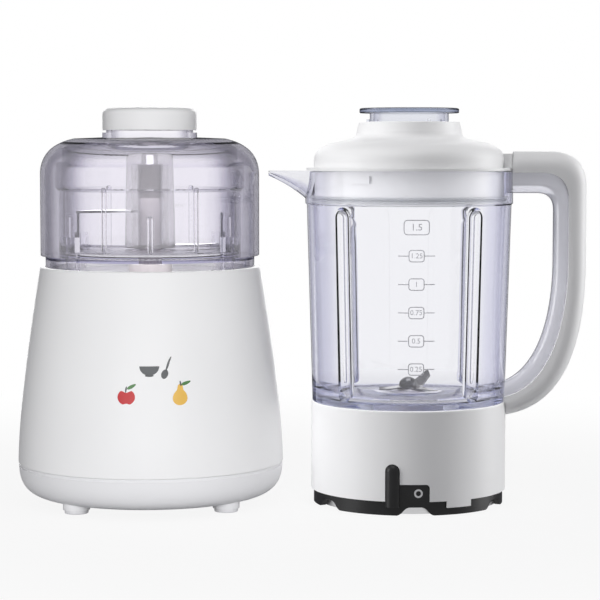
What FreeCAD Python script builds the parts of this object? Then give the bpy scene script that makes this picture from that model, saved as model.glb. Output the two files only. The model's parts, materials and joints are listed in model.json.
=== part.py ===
import FreeCAD, Part
import math
import os

# Baby food maker in millimetres, +Z up, front towards -Y. A motor base carries a clear chopper that
# runs while its dome is pressed, and the blender jug of the set stands to its right. Each unit is drawn
# about its own upright axis, and both are then turned in a little and moved so that the origin lies on the
# table under the middle of the pair. Angles are counted from the front, towards +X.

V = FreeCAD.Vector
ORIGIN = V(0, 0, 0)
UP = V(0, 0, 1)

# Clearances
move_gap = 0.4  # between pieces that slide or turn past each other
run_gap = 0.05  # radial, between a shaft and its bush
seat_gap = 0.2  # around a piece that is fixed in its seat
rest_gap = 0.3  # under a piece that rests on another body
cut_over = 2.0  # how far a cutting tool runs past the face it opens
blend = 0.5  # how far a rib or lug is sunk into the wall that carries it

# Chopper bowl
bowl_r = 62.8
bowl_wall = 2.8
bowl_floor_thick = 3.0
bowl_height = 64.0  # flange to rim
bowl_corner_r = 9.0
bowl_rim_out = 2.2  # how far the rim collar stands out of the wall
bowl_rim_wall = 3.2
bowl_rim_height = 18.0
bowl_flange_reach = 9.0
bowl_skirt_wall = 2.8
bowl_skirt_height = 17.0  # deck to flange
rib_r = 1.8
rib_count = 6
tall_rib_height = 47.0
short_rib_height = 28.0
tower_r = 8.0
tower_height = 63.0
tower_foot_r = 4.0
bowl_boss_r = 11.0

# Chopper spindle, hub and blades
spindle_r = 4.0
bush_wall = 1.5
spindle_hex_set_in = 0.1
spindle_hex_height = 8.0
hub_low_r = 17.5
hub_top_r = 16.0
hub_lift = 2.2  # above the bowl floor
hub_round = 4.0
hub_cap_thick = 9.0  # above the tower
chopper_blade_gap = 4.2  # tip to the ribs
chopper_blade_thick = 1.6
chopper_blade_root = 14.0  # chord at the hub
chopper_blade_sweep = 11.0
chopper_blade_belly = 0.65  # where along the blade its edges swell most
chopper_blade_angle = 20.0
low_blade_lift = 3.0  # above the hub's lower end
blade_step = 24.0  # height between the two blades

# Press ring under the dome, with four posts
press_travel = 3.0
press_stop_gap = 0.5
press_ring_thick = 2.5
press_ring_width = 6.6
post_width = 10.0
post_angles = (-49, 49, 131, -131)

# Dome
dome_gap = 0.5
dome_wall = 2.9
dome_lip_lift = 7.5  # above the base rim
dome_shoulder_drop = 9.0  # from the bowl's rim to where the shoulder starts
dome_shoulder_rise = 24.8
dome_shoulder_pole = 19.8
dome_crown_reach = 23.2  # radial length of the shoulder
dome_crown_rise = 0.8
dome_edge_round = 1.0
dome_skirt_gap = 1.2
dome_skirt_wall = 2.4
dome_skirt_drop = 14.0
dome_lug_height = 10.0
neck_r = 29.8
neck_wall = 3.0
neck_height = 14.6
bead_out = 2.7
bead_height = 3.2

# Dome cap
cap_wall = 2.2
cap_lift = 1.7  # above the neck bead
cap_top_thick = 4.0
cap_round = 5.0
cap_crown = 0.8
cap_gasket_thick = 1.3

# Motor base
base_wide_r = 91.5
base_height = 163.0
side_angles = (0, 90, 180, 270)
corner_angles = (45, 135, 225, 315)
seam_z = 28.0
flank_pole_z = 65.0
housing_wall = 2.8
socket_gap = 0.7
socket_rim = 3.0
socket_depth = 9.0
rim_round = 1.1
deck_thick = 3.0
lip_gap = 2.5
lip_wall = 2.0
lip_height = 3.5
seal_r = 8.0
screw_post_inset = 3.3  # from the plungers' circle
screw_post_r = 4.5
screw_post_low_z = 40.0
motor_post_circle_r = 44.0
motor_post_r = 6.0

# Bottom cover
groove_height = 1.6
groove_depth = 1.4
cover_set_in = 0.4
cover_curve = 23.5  # radial width of the curved edge
cover_low_z = 5.0
cover_wall = 2.6
tongue_height = 5.0
tongue_wall = 2.2
cover_boss_r = 6.0
cover_recess_r = 4.4
cover_recess_height = 7.0
vent_count = 12
vent_width = 4.0
vent_in_r = 24.0
vent_out_r = 48.0
vent_first = 15.0
foot_overhang = 3.0  # foot centres outside the flat floor
foot_r = 9.0
foot_pad_r = 8.0
foot_pad_height = 2.5
foot_pad_round = 1.0

# Screws
screw_r = 2.0
screw_head_r = 3.8
screw_head_height = 2.6
screw_grip = 12.0  # length held in a post

# Motor
shaft_r = 4.0
shaft_end = 2.0  # below the fan
fan_gap = 4.0
fan_height = 10.0
fan_plate_thick = 2.0
fan_r = 34.0
fan_hub_r = 9.0
fan_blade_count = 9
fan_blade_thick = 1.5
bearing_r = 11.0
bearing_height = 8.0
bracket_thick = 4.0
bracket_boss_wall = 3.0
bearing_lip = 2.0
race_groove = 1.2
race_groove_depth = 0.4
lower_bracket_z = 34.0
bracket_margin = 3.0
ear_margin = 7.0
lower_room = 28.0  # lower bracket to stack
upper_room = 14.0  # stack to upper bracket
damper_height = 5.0
damper_r = 5.5
stack_height = 36.0
stator_r = 40.0
stator_bore_r = 24.7
air_gap = 0.7
coil_inset = 1.8  # from the stator's bore
coil_cover = 7.0  # stator outside the coil
coil_height = 6.0
coil_half_angle = 52.0
coil_side_angle = 12.0
winding_inset = 2.0  # inside the armature
winding_in_r = 9.0
winding_height = 7.0
winding_round = 3.0
armature_slots = 12
armature_slot_width = 2.4
armature_slot_depth = 6.0
commutator_r = 11.0
commutator_lift = 6.0
commutator_height = 12.0
commutator_bars = 24
commutator_slit = 0.5
commutator_slit_depth = 1.0
brush_side = 6.0
brush_length = 18.0
brush_gap = 0.2
holder_wall = 2.0
holder_start_r = 13.5
holder_length = 23.0
tie_r = 2.0
tie_inset = 4.0
tie_angles = (0, 180)
pole_angles = (90, 270)
tie_head_r = 3.6
tie_head_height = 3.0
leg_r = 4.5

# Drive couplings
star_tip_r = 11.0
star_root_r = 7.6
star_teeth = 6
star_fill = 0.5  # share of the pitch that is tooth
star_height = 7.5
star_lift = 1.0  # above the deck
cup_wall = 3.6
cup_top_thick = 1.8

# Start switch
plunger_r = 2.5
plunger_collar_r = 4.6
plunger_collar_height = 2.0
plunger_tip = 0.5  # how far a resting plunger reaches into the switch
spring_room = 12.5
spring_wire_r = 0.5
spring_turns = 6
switch_plate_thick = 3.0
switch_plate_inset = 11.3  # inner edge inside the plungers' circle
switch_plate_gap = 2.5  # to the housing wall
switch_height = 12.0
switch_width = 8.0
switch_length = 20.0
switch_angle = 135

# Cord gland in the back
gland_z = 45.0
gland_r = 5.8
gland_flange_r = 8.0
gland_flange_thick = 1.0
gland_seat_depth = 1.1
gland_length = 13.0
cord_hole_r = 3.6

# Blender jug
jug_low_r = 66.4
jug_top_r = 70.4
jug_wall = 3.0
jug_floor_rise = 2.5  # above the collar
jug_floor_thick = 6.0
jug_floor_round = 15.0
jug_body_height = 136.5  # collar to rim step
jug_rim_out = 1.0
jug_rim_wall = 2.8
jug_rim_height = 22.1
jug_edge_round = 1.0
jug_neck_set_in = 6.4
jug_neck_wall = 3.0
jug_neck_length = 20.0
jug_hole_r = 24.5
flute_r = 5.5
flute_out = 1.5  # how far the flute's axis lies outside the wall
flute_low = 9.0  # above the collar
flute_top = 9.0  # below the rim step
flute_angles = (-40, 40, 140, -140)
spout_reach = 25.4
spout_wall = 2.0
spout_root_half = 25.0
spout_tip_half = 4.0
spout_root_depth = 23.8
spout_tip_depth = 3.4
spout_hollow = 2.0  # how far the underside curves in from a straight line, half way

# Jug collar with its bayonet
collar_out = 0.8  # collar radius over the jug's
collar_wall = 3.0
collar_low_z = 9.5
collar_top_z = 70.0
collar_edge_round = 1.0
shelf_gap = 1.0  # under the jug's neck
shelf_thick = 3.0
shelf_in_r = 40.0
bayonet_count = 3
bayonet_first = 15.0
bayonet_reach = 2.2
bayonet_height = 4.0
bayonet_drop = 12.0  # below the collar's top
bayonet_arc = 30.0
bayonet_turn = 26.0
bayonet_play = 1.0  # degrees
collar_tab_drop = 4.5
collar_tab_thick = 1.4
collar_tab_angles = (23, 39)

# Locking ring and foot of the jug
ring_set_in = 1.8
ring_wall = 4.0
spigot_height = 12.5
web_thick = 3.0
web_width = 15.0
arch_count = 6
arch_first = 4.6
arch_foot_half = 12.5
arch_top_half = 6.5
arch_height = 5.8
arch_flank = 0.28  # share of the height where the flank is half way out
arch_shoulder = 0.8  # share of the height where the crown begins
rod_r = 5.4
rod_angle = -8.8
rod_proud = 2.6
rod_top_z = 35.2
tab_top_z = 20.9
tab_round = 2.6
tab_angles = (-5.0, 12.5)
tab_set_in = 0.5
foot_ring_wall = 4.5
foot_ring_lift = 0.6
foot_ring_height = 8.0

# Jug blade unit
holder_flange_reach = 4.0  # over the shelf
holder_flange_thick = 3.0
holder_seat = 8.5  # under the jug's floor
holder_spigot_gap = 0.5
holder_spigot_rise = 4.0  # above the jug's floor
holder_cone_low = 1.5
holder_cone_top_r = 8.3
holder_hub_r = 12.0
holder_hub_low_z = 26.0
holder_gasket_thick = 1.5
jug_blade_thick = 1.5
jug_blade_hub_r = 8.0
upper_blade_reach = 28.0
upper_blade_bends = (29.0, -4.0)
lower_blade_reach = 24.0
lower_blade_bends = (-10.0, -10.0)
jug_blade_root = 11.0
jug_blade_tip = 6.0
jug_blade_fork = 3.5
jug_blade_slant = 6.0
upper_blade_angle = 51.0
lower_blade_angle = -39.0
nut_wall = 2.2
nut_height = 6.5
jug_cup_lift = 2.5  # above the table

# Jug lid
lid_gap = 3.6  # from skirt to mouth
lid_flange_out = 0.5
lid_lip_inset = 0.8  # from the jug's rim
lid_lip_thick = 1.8
lid_wall = 2.5
lid_straight = 7.0
lid_shoulder_rise = 13.4
lid_crown_out = 10.6  # crown outside the neck
lid_crown_rise = 3.0
lid_neck_wall = 7.3
lid_neck_flare = 1.4
lid_neck_rise = 13.2
lid_neck_fillet = 3.5
lid_edge_round = 1.2
lid_tube_wall = 2.0
lid_tube_drop = 14.5
lid_tab_thick = 1.2
lid_tab_height = 5.0
lid_tab_drop = 8.0  # from the rim to the tab's lower edge
lid_tab_angles = (-35, -23)
lid_grip_width = 16.0  # tab beside the handle
lid_grip_height = 11.5
gasket_height = 4.6

# Filler cap
filler_r = 27.1
filler_wall = 2.2
filler_rise = 5.9  # lid top to the plate
filler_plate_out = 7.1
filler_plate_thick = 3.5
filler_drop = 16.0
filler_lug_out = 2.4
filler_lug_height = 1.8
filler_lug_arc = 26.0
filler_lugs = 3

# Handle of the jug
finger_gap = 27.6
core_thick = 10.0
cover_thick = 12.6
core_width = 19.0
grip_width = 25.0
core_round = 7.0
grip_round = 11.0
handle_top_rise = 13.4  # above the rim
core_top_drop = 1.1
arm_low_drop = 15.1
handle_bend = 25.0
core_bend = 19.0
arm_bend = 11.5
grip_low_drop = 62.0  # where the straight grip starts to curve in
grip_end_drop = 10.1  # below the collar's top
core_end_rise = 3.0
arm_end_rise = 12.0
grip_tail = (48.0, 9.6, 3.1)  # poles of the sweep back to the jug: drop, set-in, rise
core_tail = (40.0, 11.0, 4.0)
arm_tail = (36.0, 9.0, 7.0)

# Where the two units stand
spout_to_dome = 6.5
collar_to_base = 15.0
base_turn = 4.1
jug_turn = -3.0

# Heights and radii that follow from the sizes above
deck_z = base_height - socket_depth
deck_low_z = deck_z - deck_thick
flange_z = deck_z + bowl_skirt_height
floor_low_z = flange_z - bowl_floor_thick
bowl_in_r = bowl_r - bowl_wall
chopper_blade_reach = bowl_in_r - rib_r - chopper_blade_gap
spindle_hex_r = spindle_r - spindle_hex_set_in
bowl_rim_r = bowl_r + bowl_rim_out
bowl_rim_in_r = bowl_rim_r - bowl_rim_wall
bowl_rim_z = flange_z + bowl_height
bowl_rim_low_z = bowl_rim_z - bowl_rim_height
bowl_skirt_r = bowl_r + bowl_flange_reach
bowl_skirt_in_r = bowl_skirt_r - bowl_skirt_wall
bush_r = spindle_r + run_gap + bush_wall
tower_top_z = flange_z + tower_height
socket_r = bowl_skirt_r + socket_gap
base_top_r = socket_r + socket_rim
post_in_r = bowl_rim_r + 2 * move_gap
post_out_r = bowl_skirt_in_r - move_gap
press_z = deck_z + press_travel + press_stop_gap
post_top_z = flange_z + press_travel + press_stop_gap
dome_in_r = bowl_skirt_r + dome_gap
dome_r = dome_in_r + dome_wall
dome_low_z = base_height + dome_lip_lift
dome_shoulder_z = bowl_rim_z - dome_shoulder_drop
dome_crown_z = dome_shoulder_z + dome_shoulder_rise
dome_crown_r = dome_r - dome_crown_reach
dome_top_z = dome_crown_z + dome_crown_rise
neck_in_r = neck_r - neck_wall
neck_top_z = dome_top_z + neck_height
bead_r = neck_r + bead_out
cap_in_r = neck_r + move_gap
cap_r = cap_in_r + cap_wall
cap_low_z = dome_top_z + bead_height + cap_lift
cap_ceiling_z = neck_top_z + cap_gasket_thick
cap_top_z = cap_ceiling_z + cap_top_thick
star_low_z = deck_z + star_lift
star_top_z = star_low_z + star_height
cup_r = star_tip_r + move_gap + cup_wall
cup_height = star_height + move_gap + cup_top_thick - star_lift
bowl_cup_z = star_low_z + star_lift
lip_in_r = cup_r + lip_gap
bowl_boss_z = bowl_cup_z + cup_height + move_gap
hub_z = flange_z + hub_lift
hub_top_z = tower_top_z + move_gap + hub_cap_thick
cover_flat_r = base_wide_r - cover_curve
foot_circle_r = cover_flat_r + foot_overhang
tie_circle_r = stator_r - tie_inset
lower_bracket_r = stator_r + bracket_margin
upper_bracket_r = motor_post_circle_r + ear_margin
coil_in_r = stator_bore_r + coil_inset
coil_out_r = stator_r - coil_cover
winding_r = stator_bore_r - air_gap - winding_inset
lower_boss_z = lower_bracket_z + bracket_thick - bearing_height - bearing_lip
fan_z = lower_boss_z - fan_gap - fan_height
commutator_z = lower_bracket_z + bracket_thick + commutator_lift
stack_z = lower_bracket_z + bracket_thick + lower_room
stack_top_z = stack_z + stack_height
upper_bracket_z = stack_top_z + upper_room
plunger_circle_r = post_out_r - press_ring_width / 2
plunger_top_z = press_z - rest_gap
post_circle_r = plunger_circle_r - screw_post_inset
switch_plate_in_r = plunger_circle_r - switch_plate_inset
collar_z = deck_low_z - rest_gap - plunger_collar_height
switch_plate_top_z = collar_z - spring_room
switch_plate_z = switch_plate_top_z - switch_plate_thick
jug_neck_r = jug_low_r - jug_neck_set_in
jug_neck_low_z = collar_top_z - jug_neck_length
jug_floor_z = collar_top_z + jug_floor_rise
jug_floor_low_z = jug_floor_z - jug_floor_thick
jug_step_z = collar_top_z + jug_body_height
jug_rim_r = jug_top_r + jug_rim_out
jug_rim_z = jug_step_z + jug_rim_height
jug_mouth_r = jug_rim_r - jug_rim_wall
collar_r = jug_low_r + collar_out
collar_in_r = collar_r - collar_wall
ring_r = collar_r - ring_set_in
ring_in_r = ring_r - ring_wall
spigot_r = collar_in_r - seat_gap
shelf_top_z = jug_neck_low_z - shelf_gap
shelf_z = shelf_top_z - shelf_thick
holder_flange_r = shelf_in_r + holder_flange_reach
holder_body_r = jug_hole_r + holder_seat
holder_shoulder_z = jug_floor_low_z - holder_gasket_thick
holder_top_z = jug_floor_z + holder_spigot_rise
jug_cup_top_z = jug_cup_lift + cup_height
lower_blade_z = holder_top_z + move_gap
upper_blade_z = lower_blade_z + jug_blade_thick
nut_z = upper_blade_z + jug_blade_thick
nut_r = spindle_r + nut_wall
rod_circle_r = collar_r + rod_proud - rod_r
lid_skirt_r = jug_mouth_r - lid_gap
lid_r = lid_skirt_r + lid_flange_out
lid_low_z = jug_step_z + rest_gap
lid_shoulder_z = jug_rim_z + lid_straight
lid_crown_z = lid_shoulder_z + lid_shoulder_rise
lid_neck_z = lid_crown_z + lid_crown_rise
lid_top_z = lid_neck_z + lid_neck_rise - lid_crown_rise
filler_hole_r = filler_r + move_gap
filler_plate_r = filler_r + filler_plate_out
lid_neck_top_r = filler_hole_r + lid_neck_wall
lid_neck_low_r = lid_neck_top_r + lid_neck_flare
lid_crown_r = lid_neck_low_r + lid_crown_out
handle_in_x = jug_rim_r + finger_gap
handle_mid_x = handle_in_x + core_thick
handle_out_x = handle_mid_x + cover_thick
axis_gap = max(dome_r + jug_rim_r + spout_reach + spout_to_dome, base_wide_r + collar_r + collar_to_base)
base_x = base_wide_r - (base_wide_r + axis_gap + handle_out_x) / 2
jug_x = base_x + axis_gap


def profile(start, *steps):
    """Closed face in the XZ plane: a step is a point, or a list of the poles of a curve to its last one."""
    first = V(start[0], 0, start[1])
    here = first
    edges = []
    for step in steps:
        points = step if isinstance(step, list) else [step]
        poles = [here] + [V(x, 0, z) for x, z in points]
        if len(poles) == 2:
            edges.append(Part.LineSegment(*poles).toShape())
        else:
            curve = Part.BezierCurve()
            curve.setPoles(poles)
            edges.append(curve.toShape())
        here = poles[-1]
    if here.distanceToPoint(first) > 1e-6:
        edges.append(Part.LineSegment(here, first).toShape())
    return Part.Face(Part.Wire(edges))


def turned(start, *steps):
    """Solid of revolution about the unit's upright axis."""
    return profile(start, *steps).revolve(ORIGIN, UP, 360)


def disc(r, z0, z1):
    return Part.makeCylinder(r, z1 - z0, V(0, 0, z0))


def tube(r_out, r_in, z0, z1):
    return disc(r_out, z0, z1).cut(disc(r_in, z0, z1))


def polar(r, angle, z):
    a = math.radians(angle)
    return V(r * math.sin(a), -r * math.cos(a), z)


def upright(r, circle_r, angle, z0, z1):
    """Upright cylinder on a circle about the axis."""
    return Part.makeCylinder(r, z1 - z0, polar(circle_r, angle, z0))


def spun(shape, angles):
    """Copies of a shape turned about the upright axis."""
    return [shape.rotated(ORIGIN, UP, angle) for angle in angles]


def spread(count, first=0.0):
    return [first + 360.0 * i / count for i in range(count)]


def sector(r_in, r_out, z0, z1, start, end):
    """Part of a ring between two angles."""
    face = profile((r_in, z0), (r_out, z0), (r_out, z1), (r_in, z1))
    return face.rotated(ORIGIN, UP, start - 90).revolve(ORIGIN, UP, end - start)


def softened(shape, radius, rings):
    """Rounds the circular edges at the given radii and heights."""
    chosen = []
    for edge in shape.Edges:
        curve = edge.Curve
        if isinstance(curve, Part.Circle):
            for r, z in rings:
                if abs(curve.Radius - r) < 1e-4 and abs(curve.Center.z - z) < 1e-4:
                    chosen.append(edge)
    return shape.makeFillet(radius, chosen)


def box_between(x0, x1, y0, y1, z0, z1):
    return Part.makeBox(x1 - x0, y1 - y0, z1 - z0, V(x0, y0, z0))


def flank_r(z):
    """Outer radius of the housing at a height, from the curve of its flank."""
    a = seam_z - 2 * flank_pole_z + base_height
    b = 2 * (flank_pole_z - seam_z)
    t = (math.sqrt(b * b - 4 * a * (seam_z - z)) - b) / (2 * a)
    return base_wide_r - (base_wide_r - base_top_r) * t * t


def coupling_star(grow, z0, z1):
    """Toothed drive, grown evenly all round for the cup that takes it."""
    pitch = 2 * math.pi / star_teeth
    points = []
    for tooth in range(star_teeth):
        for r, side in ((star_root_r, -1), (star_tip_r, -1), (star_tip_r, 1), (star_root_r, 1)):
            half = star_fill * pitch / 2 * (star_root_r / r) + grow / r
            a = tooth * pitch + side * half
            points.append(V((r + grow) * math.cos(a), (r + grow) * math.sin(a), z0))
    return Part.Face(Part.makePolygon(points + points[:1])).extrude(V(0, 0, z1 - z0))


def coupling_cup(z0, shaft):
    """Driven cup whose lower end stands at z0, on its shaft."""
    cup = disc(cup_r, z0, z0 + cup_height)
    cavity = coupling_star(move_gap, z0 - cut_over, z0 + cup_height - cup_top_thick)
    return cup.cut([cavity, shaft])


# Motor base


def base_housing():
    inner_top_r = flank_r(deck_low_z) - housing_wall
    inner_low_r = base_wide_r - housing_wall
    shell = turned(
        (inner_low_r, seam_z),
        (base_wide_r, seam_z),
        [(base_wide_r, flank_pole_z), (base_top_r, base_height)],
        (socket_r, base_height),
        (socket_r, deck_z),
        (lip_in_r + lip_wall, deck_z),
        (lip_in_r + lip_wall, deck_z + lip_height),
        (lip_in_r, deck_z + lip_height),
        (lip_in_r, deck_z),
        (seal_r, deck_z),
        (seal_r, deck_low_z),
        (inner_top_r, deck_low_z),
        [(inner_low_r, flank_pole_z), (inner_low_r, seam_z)],
    )
    shell = softened(shell, rim_round, [(base_top_r, base_height), (base_wide_r, seam_z)])
    posts = []
    holes = []
    for angle in side_angles:
        posts.append(upright(screw_post_r, post_circle_r, angle, screw_post_low_z, deck_low_z))
        top = screw_post_low_z + screw_grip + cut_over
        holes.append(upright(screw_r + run_gap, post_circle_r, angle, screw_post_low_z, top))
    motor_post_low_z = upper_bracket_z + bracket_thick + damper_height
    for angle in corner_angles:
        posts.append(upright(motor_post_r, motor_post_circle_r, angle, motor_post_low_z, deck_low_z))
        top = motor_post_low_z + screw_grip + cut_over
        holes.append(upright(screw_r + run_gap, motor_post_circle_r, angle, motor_post_low_z, top))
    for angle in corner_angles:
        holes.append(upright(plunger_r + move_gap, plunger_circle_r, angle, deck_low_z, deck_z))
    seat_y = flank_r(gland_z) - gland_seat_depth
    seat = Part.makeCylinder(gland_flange_r + seat_gap, base_wide_r, V(0, seat_y, gland_z), V(0, 1, 0))
    through = Part.makeCylinder(gland_r + seat_gap, base_wide_r, V(0, base_wide_r / 2, gland_z), V(0, 1, 0))
    return shell.cut([seat, through]).fuse(posts).cut(holes)


def base_bottom_cover():
    out_r = base_wide_r - cover_set_in
    top_z = seam_z - groove_height
    step_r = base_wide_r - groove_depth
    tongue_r = base_wide_r - housing_wall - seat_gap
    tongue_in_r = tongue_r - tongue_wall
    floor_z = cover_low_z + cover_wall
    tray = turned(
        (0, cover_low_z),
        (cover_flat_r, cover_low_z),
        [(out_r, cover_low_z), (out_r, top_z)],
        (step_r, top_z),
        (step_r, seam_z),
        (tongue_r, seam_z),
        (tongue_r, seam_z + tongue_height),
        (tongue_in_r, seam_z + tongue_height),
        (tongue_in_r, top_z),
        [(tongue_in_r, floor_z), (cover_flat_r - cover_wall, floor_z)],
        (0, floor_z),
    )
    bosses = []
    holes = []
    for angle in side_angles:
        bosses.append(upright(cover_boss_r, post_circle_r, angle, floor_z - blend, screw_post_low_z))
        recess_top_z = cover_low_z + cover_recess_height
        holes.append(upright(cover_recess_r, post_circle_r, angle, 0, recess_top_z))
        holes.append(upright(screw_r + seat_gap, post_circle_r, angle, 0, screw_post_low_z))
    for angle in corner_angles:
        bosses.append(upright(foot_r, foot_circle_r, angle, foot_pad_height, floor_z + blend))
    slot = box_between(vent_in_r, vent_out_r, -vent_width / 2, vent_width / 2, 0, floor_z + cut_over)
    holes += spun(slot, spread(vent_count, vent_first))
    return tray.fuse(bosses).cut(holes)


def foot_pads():
    pad = turned(
        (0, 0),
        (foot_pad_r - foot_pad_round, 0),
        [(foot_pad_r, 0), (foot_pad_r, foot_pad_round)],
        (foot_pad_r, foot_pad_height),
        (0, foot_pad_height),
    )
    return Part.makeCompound([pad.translated(polar(foot_circle_r, angle, 0)) for angle in corner_angles])


def screws(circle_r, angles, head_top_z, length):
    """Pan-head screws driven from below, with the head's seat at head_top_z."""
    group = []
    for angle in angles:
        head = upright(screw_head_r, circle_r, angle, head_top_z - screw_head_height, head_top_z)
        slot = box_between(-screw_head_r, screw_head_r, -screw_r / 4, screw_r / 4, 0, screw_head_height / 2)
        slot = slot.translated(polar(circle_r, angle, head_top_z - screw_head_height))
        shank = upright(screw_r, circle_r, angle, head_top_z, head_top_z + length)
        group.append(head.fuse(shank).cut(slot))
    return Part.makeCompound(group)


def cover_screws():
    seat_z = cover_low_z + cover_recess_height
    return screws(post_circle_r, side_angles, seat_z, screw_post_low_z + screw_grip - seat_z)


def motor_screws():
    length = bracket_thick + damper_height + screw_grip
    return screws(motor_post_circle_r, corner_angles, upper_bracket_z, length)


def motor_dampers():
    z0 = upper_bracket_z + bracket_thick
    ring = tube(damper_r, screw_r + seat_gap, z0, z0 + damper_height)
    places = [polar(motor_post_circle_r, angle, 0) for angle in corner_angles]
    return Part.makeCompound([ring.translated(place) for place in places])


def lower_bracket():
    plate = disc(lower_bracket_r, lower_bracket_z, lower_bracket_z + bracket_thick)
    boss = disc(bearing_r + bracket_boss_wall, lower_boss_z, lower_bracket_z + bracket_thick)
    legs = []
    holes = [disc(bearing_r, lower_boss_z + bearing_lip, lower_bracket_z + bracket_thick)]
    holes.append(disc(shaft_r + 2 * seat_gap, lower_boss_z, lower_boss_z + bearing_lip))
    for angle in tie_angles:
        legs.append(upright(leg_r, tie_circle_r, angle, lower_bracket_z, stack_z))
        holes.append(upright(tie_r + seat_gap, tie_circle_r, angle, lower_bracket_z, stack_z))
    return plate.fuse([boss] + legs).cut(holes)


def upper_bracket():
    top_z = upper_bracket_z + bracket_thick
    plate = disc(upper_bracket_r, upper_bracket_z, top_z)
    boss_top_z = upper_bracket_z + bearing_height + bearing_lip
    boss = disc(bearing_r + bracket_boss_wall, upper_bracket_z, boss_top_z)
    holes = [disc(bearing_r, upper_bracket_z + bearing_lip, boss_top_z)]
    holes.append(disc(shaft_r + 2 * seat_gap, upper_bracket_z, upper_bracket_z + bearing_lip))
    legs = []
    for angle in tie_angles:
        legs.append(upright(leg_r, tie_circle_r, angle, stack_top_z, top_z))
        holes.append(upright(tie_r + seat_gap, tie_circle_r, angle, stack_top_z, top_z))
    for angle in corner_angles:
        holes.append(upright(screw_r + seat_gap, motor_post_circle_r, angle, upper_bracket_z, top_z))
    return plate.fuse([boss] + legs).cut(holes)


def bearing(z0):
    """Plain sealed bearing with a groove between its two races."""
    ring = tube(bearing_r, shaft_r + run_gap, z0, z0 + bearing_height)
    race_r = (bearing_r + shaft_r) / 2
    top_z = z0 + bearing_height
    groove = tube(race_r + race_groove, race_r - race_groove, top_z - race_groove_depth, top_z)
    return ring.cut(groove)


def lower_bearing():
    return bearing(lower_bracket_z + bracket_thick - bearing_height)


def upper_bearing():
    return bearing(upper_bracket_z + bearing_lip)


def tie_bolts():
    group = []
    for angle in tie_angles:
        head_z = lower_bracket_z - tie_head_height
        head = upright(tie_head_r, tie_circle_r, angle, head_z, lower_bracket_z)
        top_z = upper_bracket_z + bracket_thick
        shank = upright(tie_r, tie_circle_r, angle, lower_bracket_z, top_z)
        group.append(head.fuse(shank))
    return Part.makeCompound(group)


def coil_side_angles(pole):
    """Angles between which each side of a pole's coil runs through the stack."""
    low = pole - coil_half_angle
    high = pole + coil_half_angle
    return (low, low + coil_side_angle), (high - coil_side_angle, high)


def stator_core():
    ring = tube(stator_r, stator_bore_r, stack_z, stack_top_z)
    holes = [upright(tie_r + seat_gap, tie_circle_r, angle, stack_z, stack_top_z) for angle in tie_angles]
    for pole in pole_angles:
        for start, end in coil_side_angles(pole):
            r_in = coil_in_r - seat_gap
            r_out = coil_out_r + seat_gap
            holes.append(sector(r_in, r_out, stack_z, stack_top_z, start - seat_gap, end + seat_gap))
    return ring.cut(holes)


def field_coils():
    coils = []
    for pole in pole_angles:
        ends = [
            sector(coil_in_r, coil_out_r, z, z + coil_height, pole - coil_half_angle, pole + coil_half_angle)
            for z in (stack_z - coil_height, stack_top_z)
        ]
        sides = [
            sector(coil_in_r, coil_out_r, stack_z, stack_top_z, start, end)
            for start, end in coil_side_angles(pole)
        ]
        coils.append(ends[0].fuse([ends[1]] + sides).removeSplitter())
    return Part.makeCompound(coils)


def armature_core():
    r = stator_bore_r - air_gap
    core = tube(r, shaft_r, stack_z, stack_top_z)
    half = armature_slot_width / 2
    slot = box_between(r - armature_slot_depth, r + cut_over, -half, half, stack_z, stack_top_z)
    return core.cut(spun(slot, spread(armature_slots)))


def armature_windings():
    group = []
    for z0, z1 in ((stack_top_z, stack_top_z + winding_height), (stack_z, stack_z - winding_height)):
        bend_z = z1 + winding_round if z1 < z0 else z1 - winding_round
        end_turns = turned(
            (shaft_r, z0),
            (winding_r, z0),
            (winding_r, bend_z),
            [(winding_r, z1), (winding_r - winding_round, z1)],
            (winding_in_r + winding_round, z1),
            [(winding_in_r, z1), (winding_in_r, bend_z)],
            (shaft_r, bend_z),
        )
        group.append(end_turns)
    return Part.makeCompound(group)


def commutator():
    drum = tube(commutator_r, shaft_r, commutator_z, commutator_z + commutator_height)
    half = commutator_slit / 2
    z1 = commutator_z + commutator_height
    slit_r = commutator_r - commutator_slit_depth
    slit = box_between(slit_r, commutator_r + cut_over, -half, half, commutator_z, z1)
    return drum.cut(spun(slit, spread(commutator_bars)))


def brush_z():
    return commutator_z + commutator_height / 2


def carbon_brushes():
    half = brush_side / 2
    start = commutator_r + brush_gap
    brush = box_between(start, start + brush_length, -half, half, brush_z() - half, brush_z() + half)
    return Part.makeCompound(spun(brush, (0, 180)))


def brush_holders():
    inner = brush_side / 2 + seat_gap
    outer = inner + holder_wall
    end = holder_start_r + holder_length
    low_z = lower_bracket_z + bracket_thick
    block = box_between(holder_start_r, end, -outer, outer, low_z, brush_z() + outer)
    channel = box_between(
        holder_start_r - cut_over, end - holder_wall, -inner, inner, brush_z() - inner, brush_z() + inner
    )
    return Part.makeCompound(spun(block.cut(channel), (0, 180)))


def motor_shaft():
    return disc(shaft_r, fan_z - shaft_end, star_top_z - star_lift)


def cooling_fan():
    plate_z = fan_z + fan_height - fan_plate_thick
    hub = disc(fan_hub_r, fan_z, fan_z + fan_height)
    plate = disc(fan_r, plate_z, fan_z + fan_height)
    half = fan_blade_thick / 2
    blade = box_between(fan_hub_r - blend, fan_r - blend, -half, half, fan_z, plate_z + blend)
    bore = disc(shaft_r, fan_z, fan_z + fan_height)
    return hub.fuse([plate] + spun(blade, spread(fan_blade_count))).cut(bore)


def drive_coupling():
    return coupling_star(0, star_low_z, star_top_z).cut(motor_shaft())


def deck_seal():
    return tube(seal_r, shaft_r + move_gap, deck_low_z, deck_z)


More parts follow.
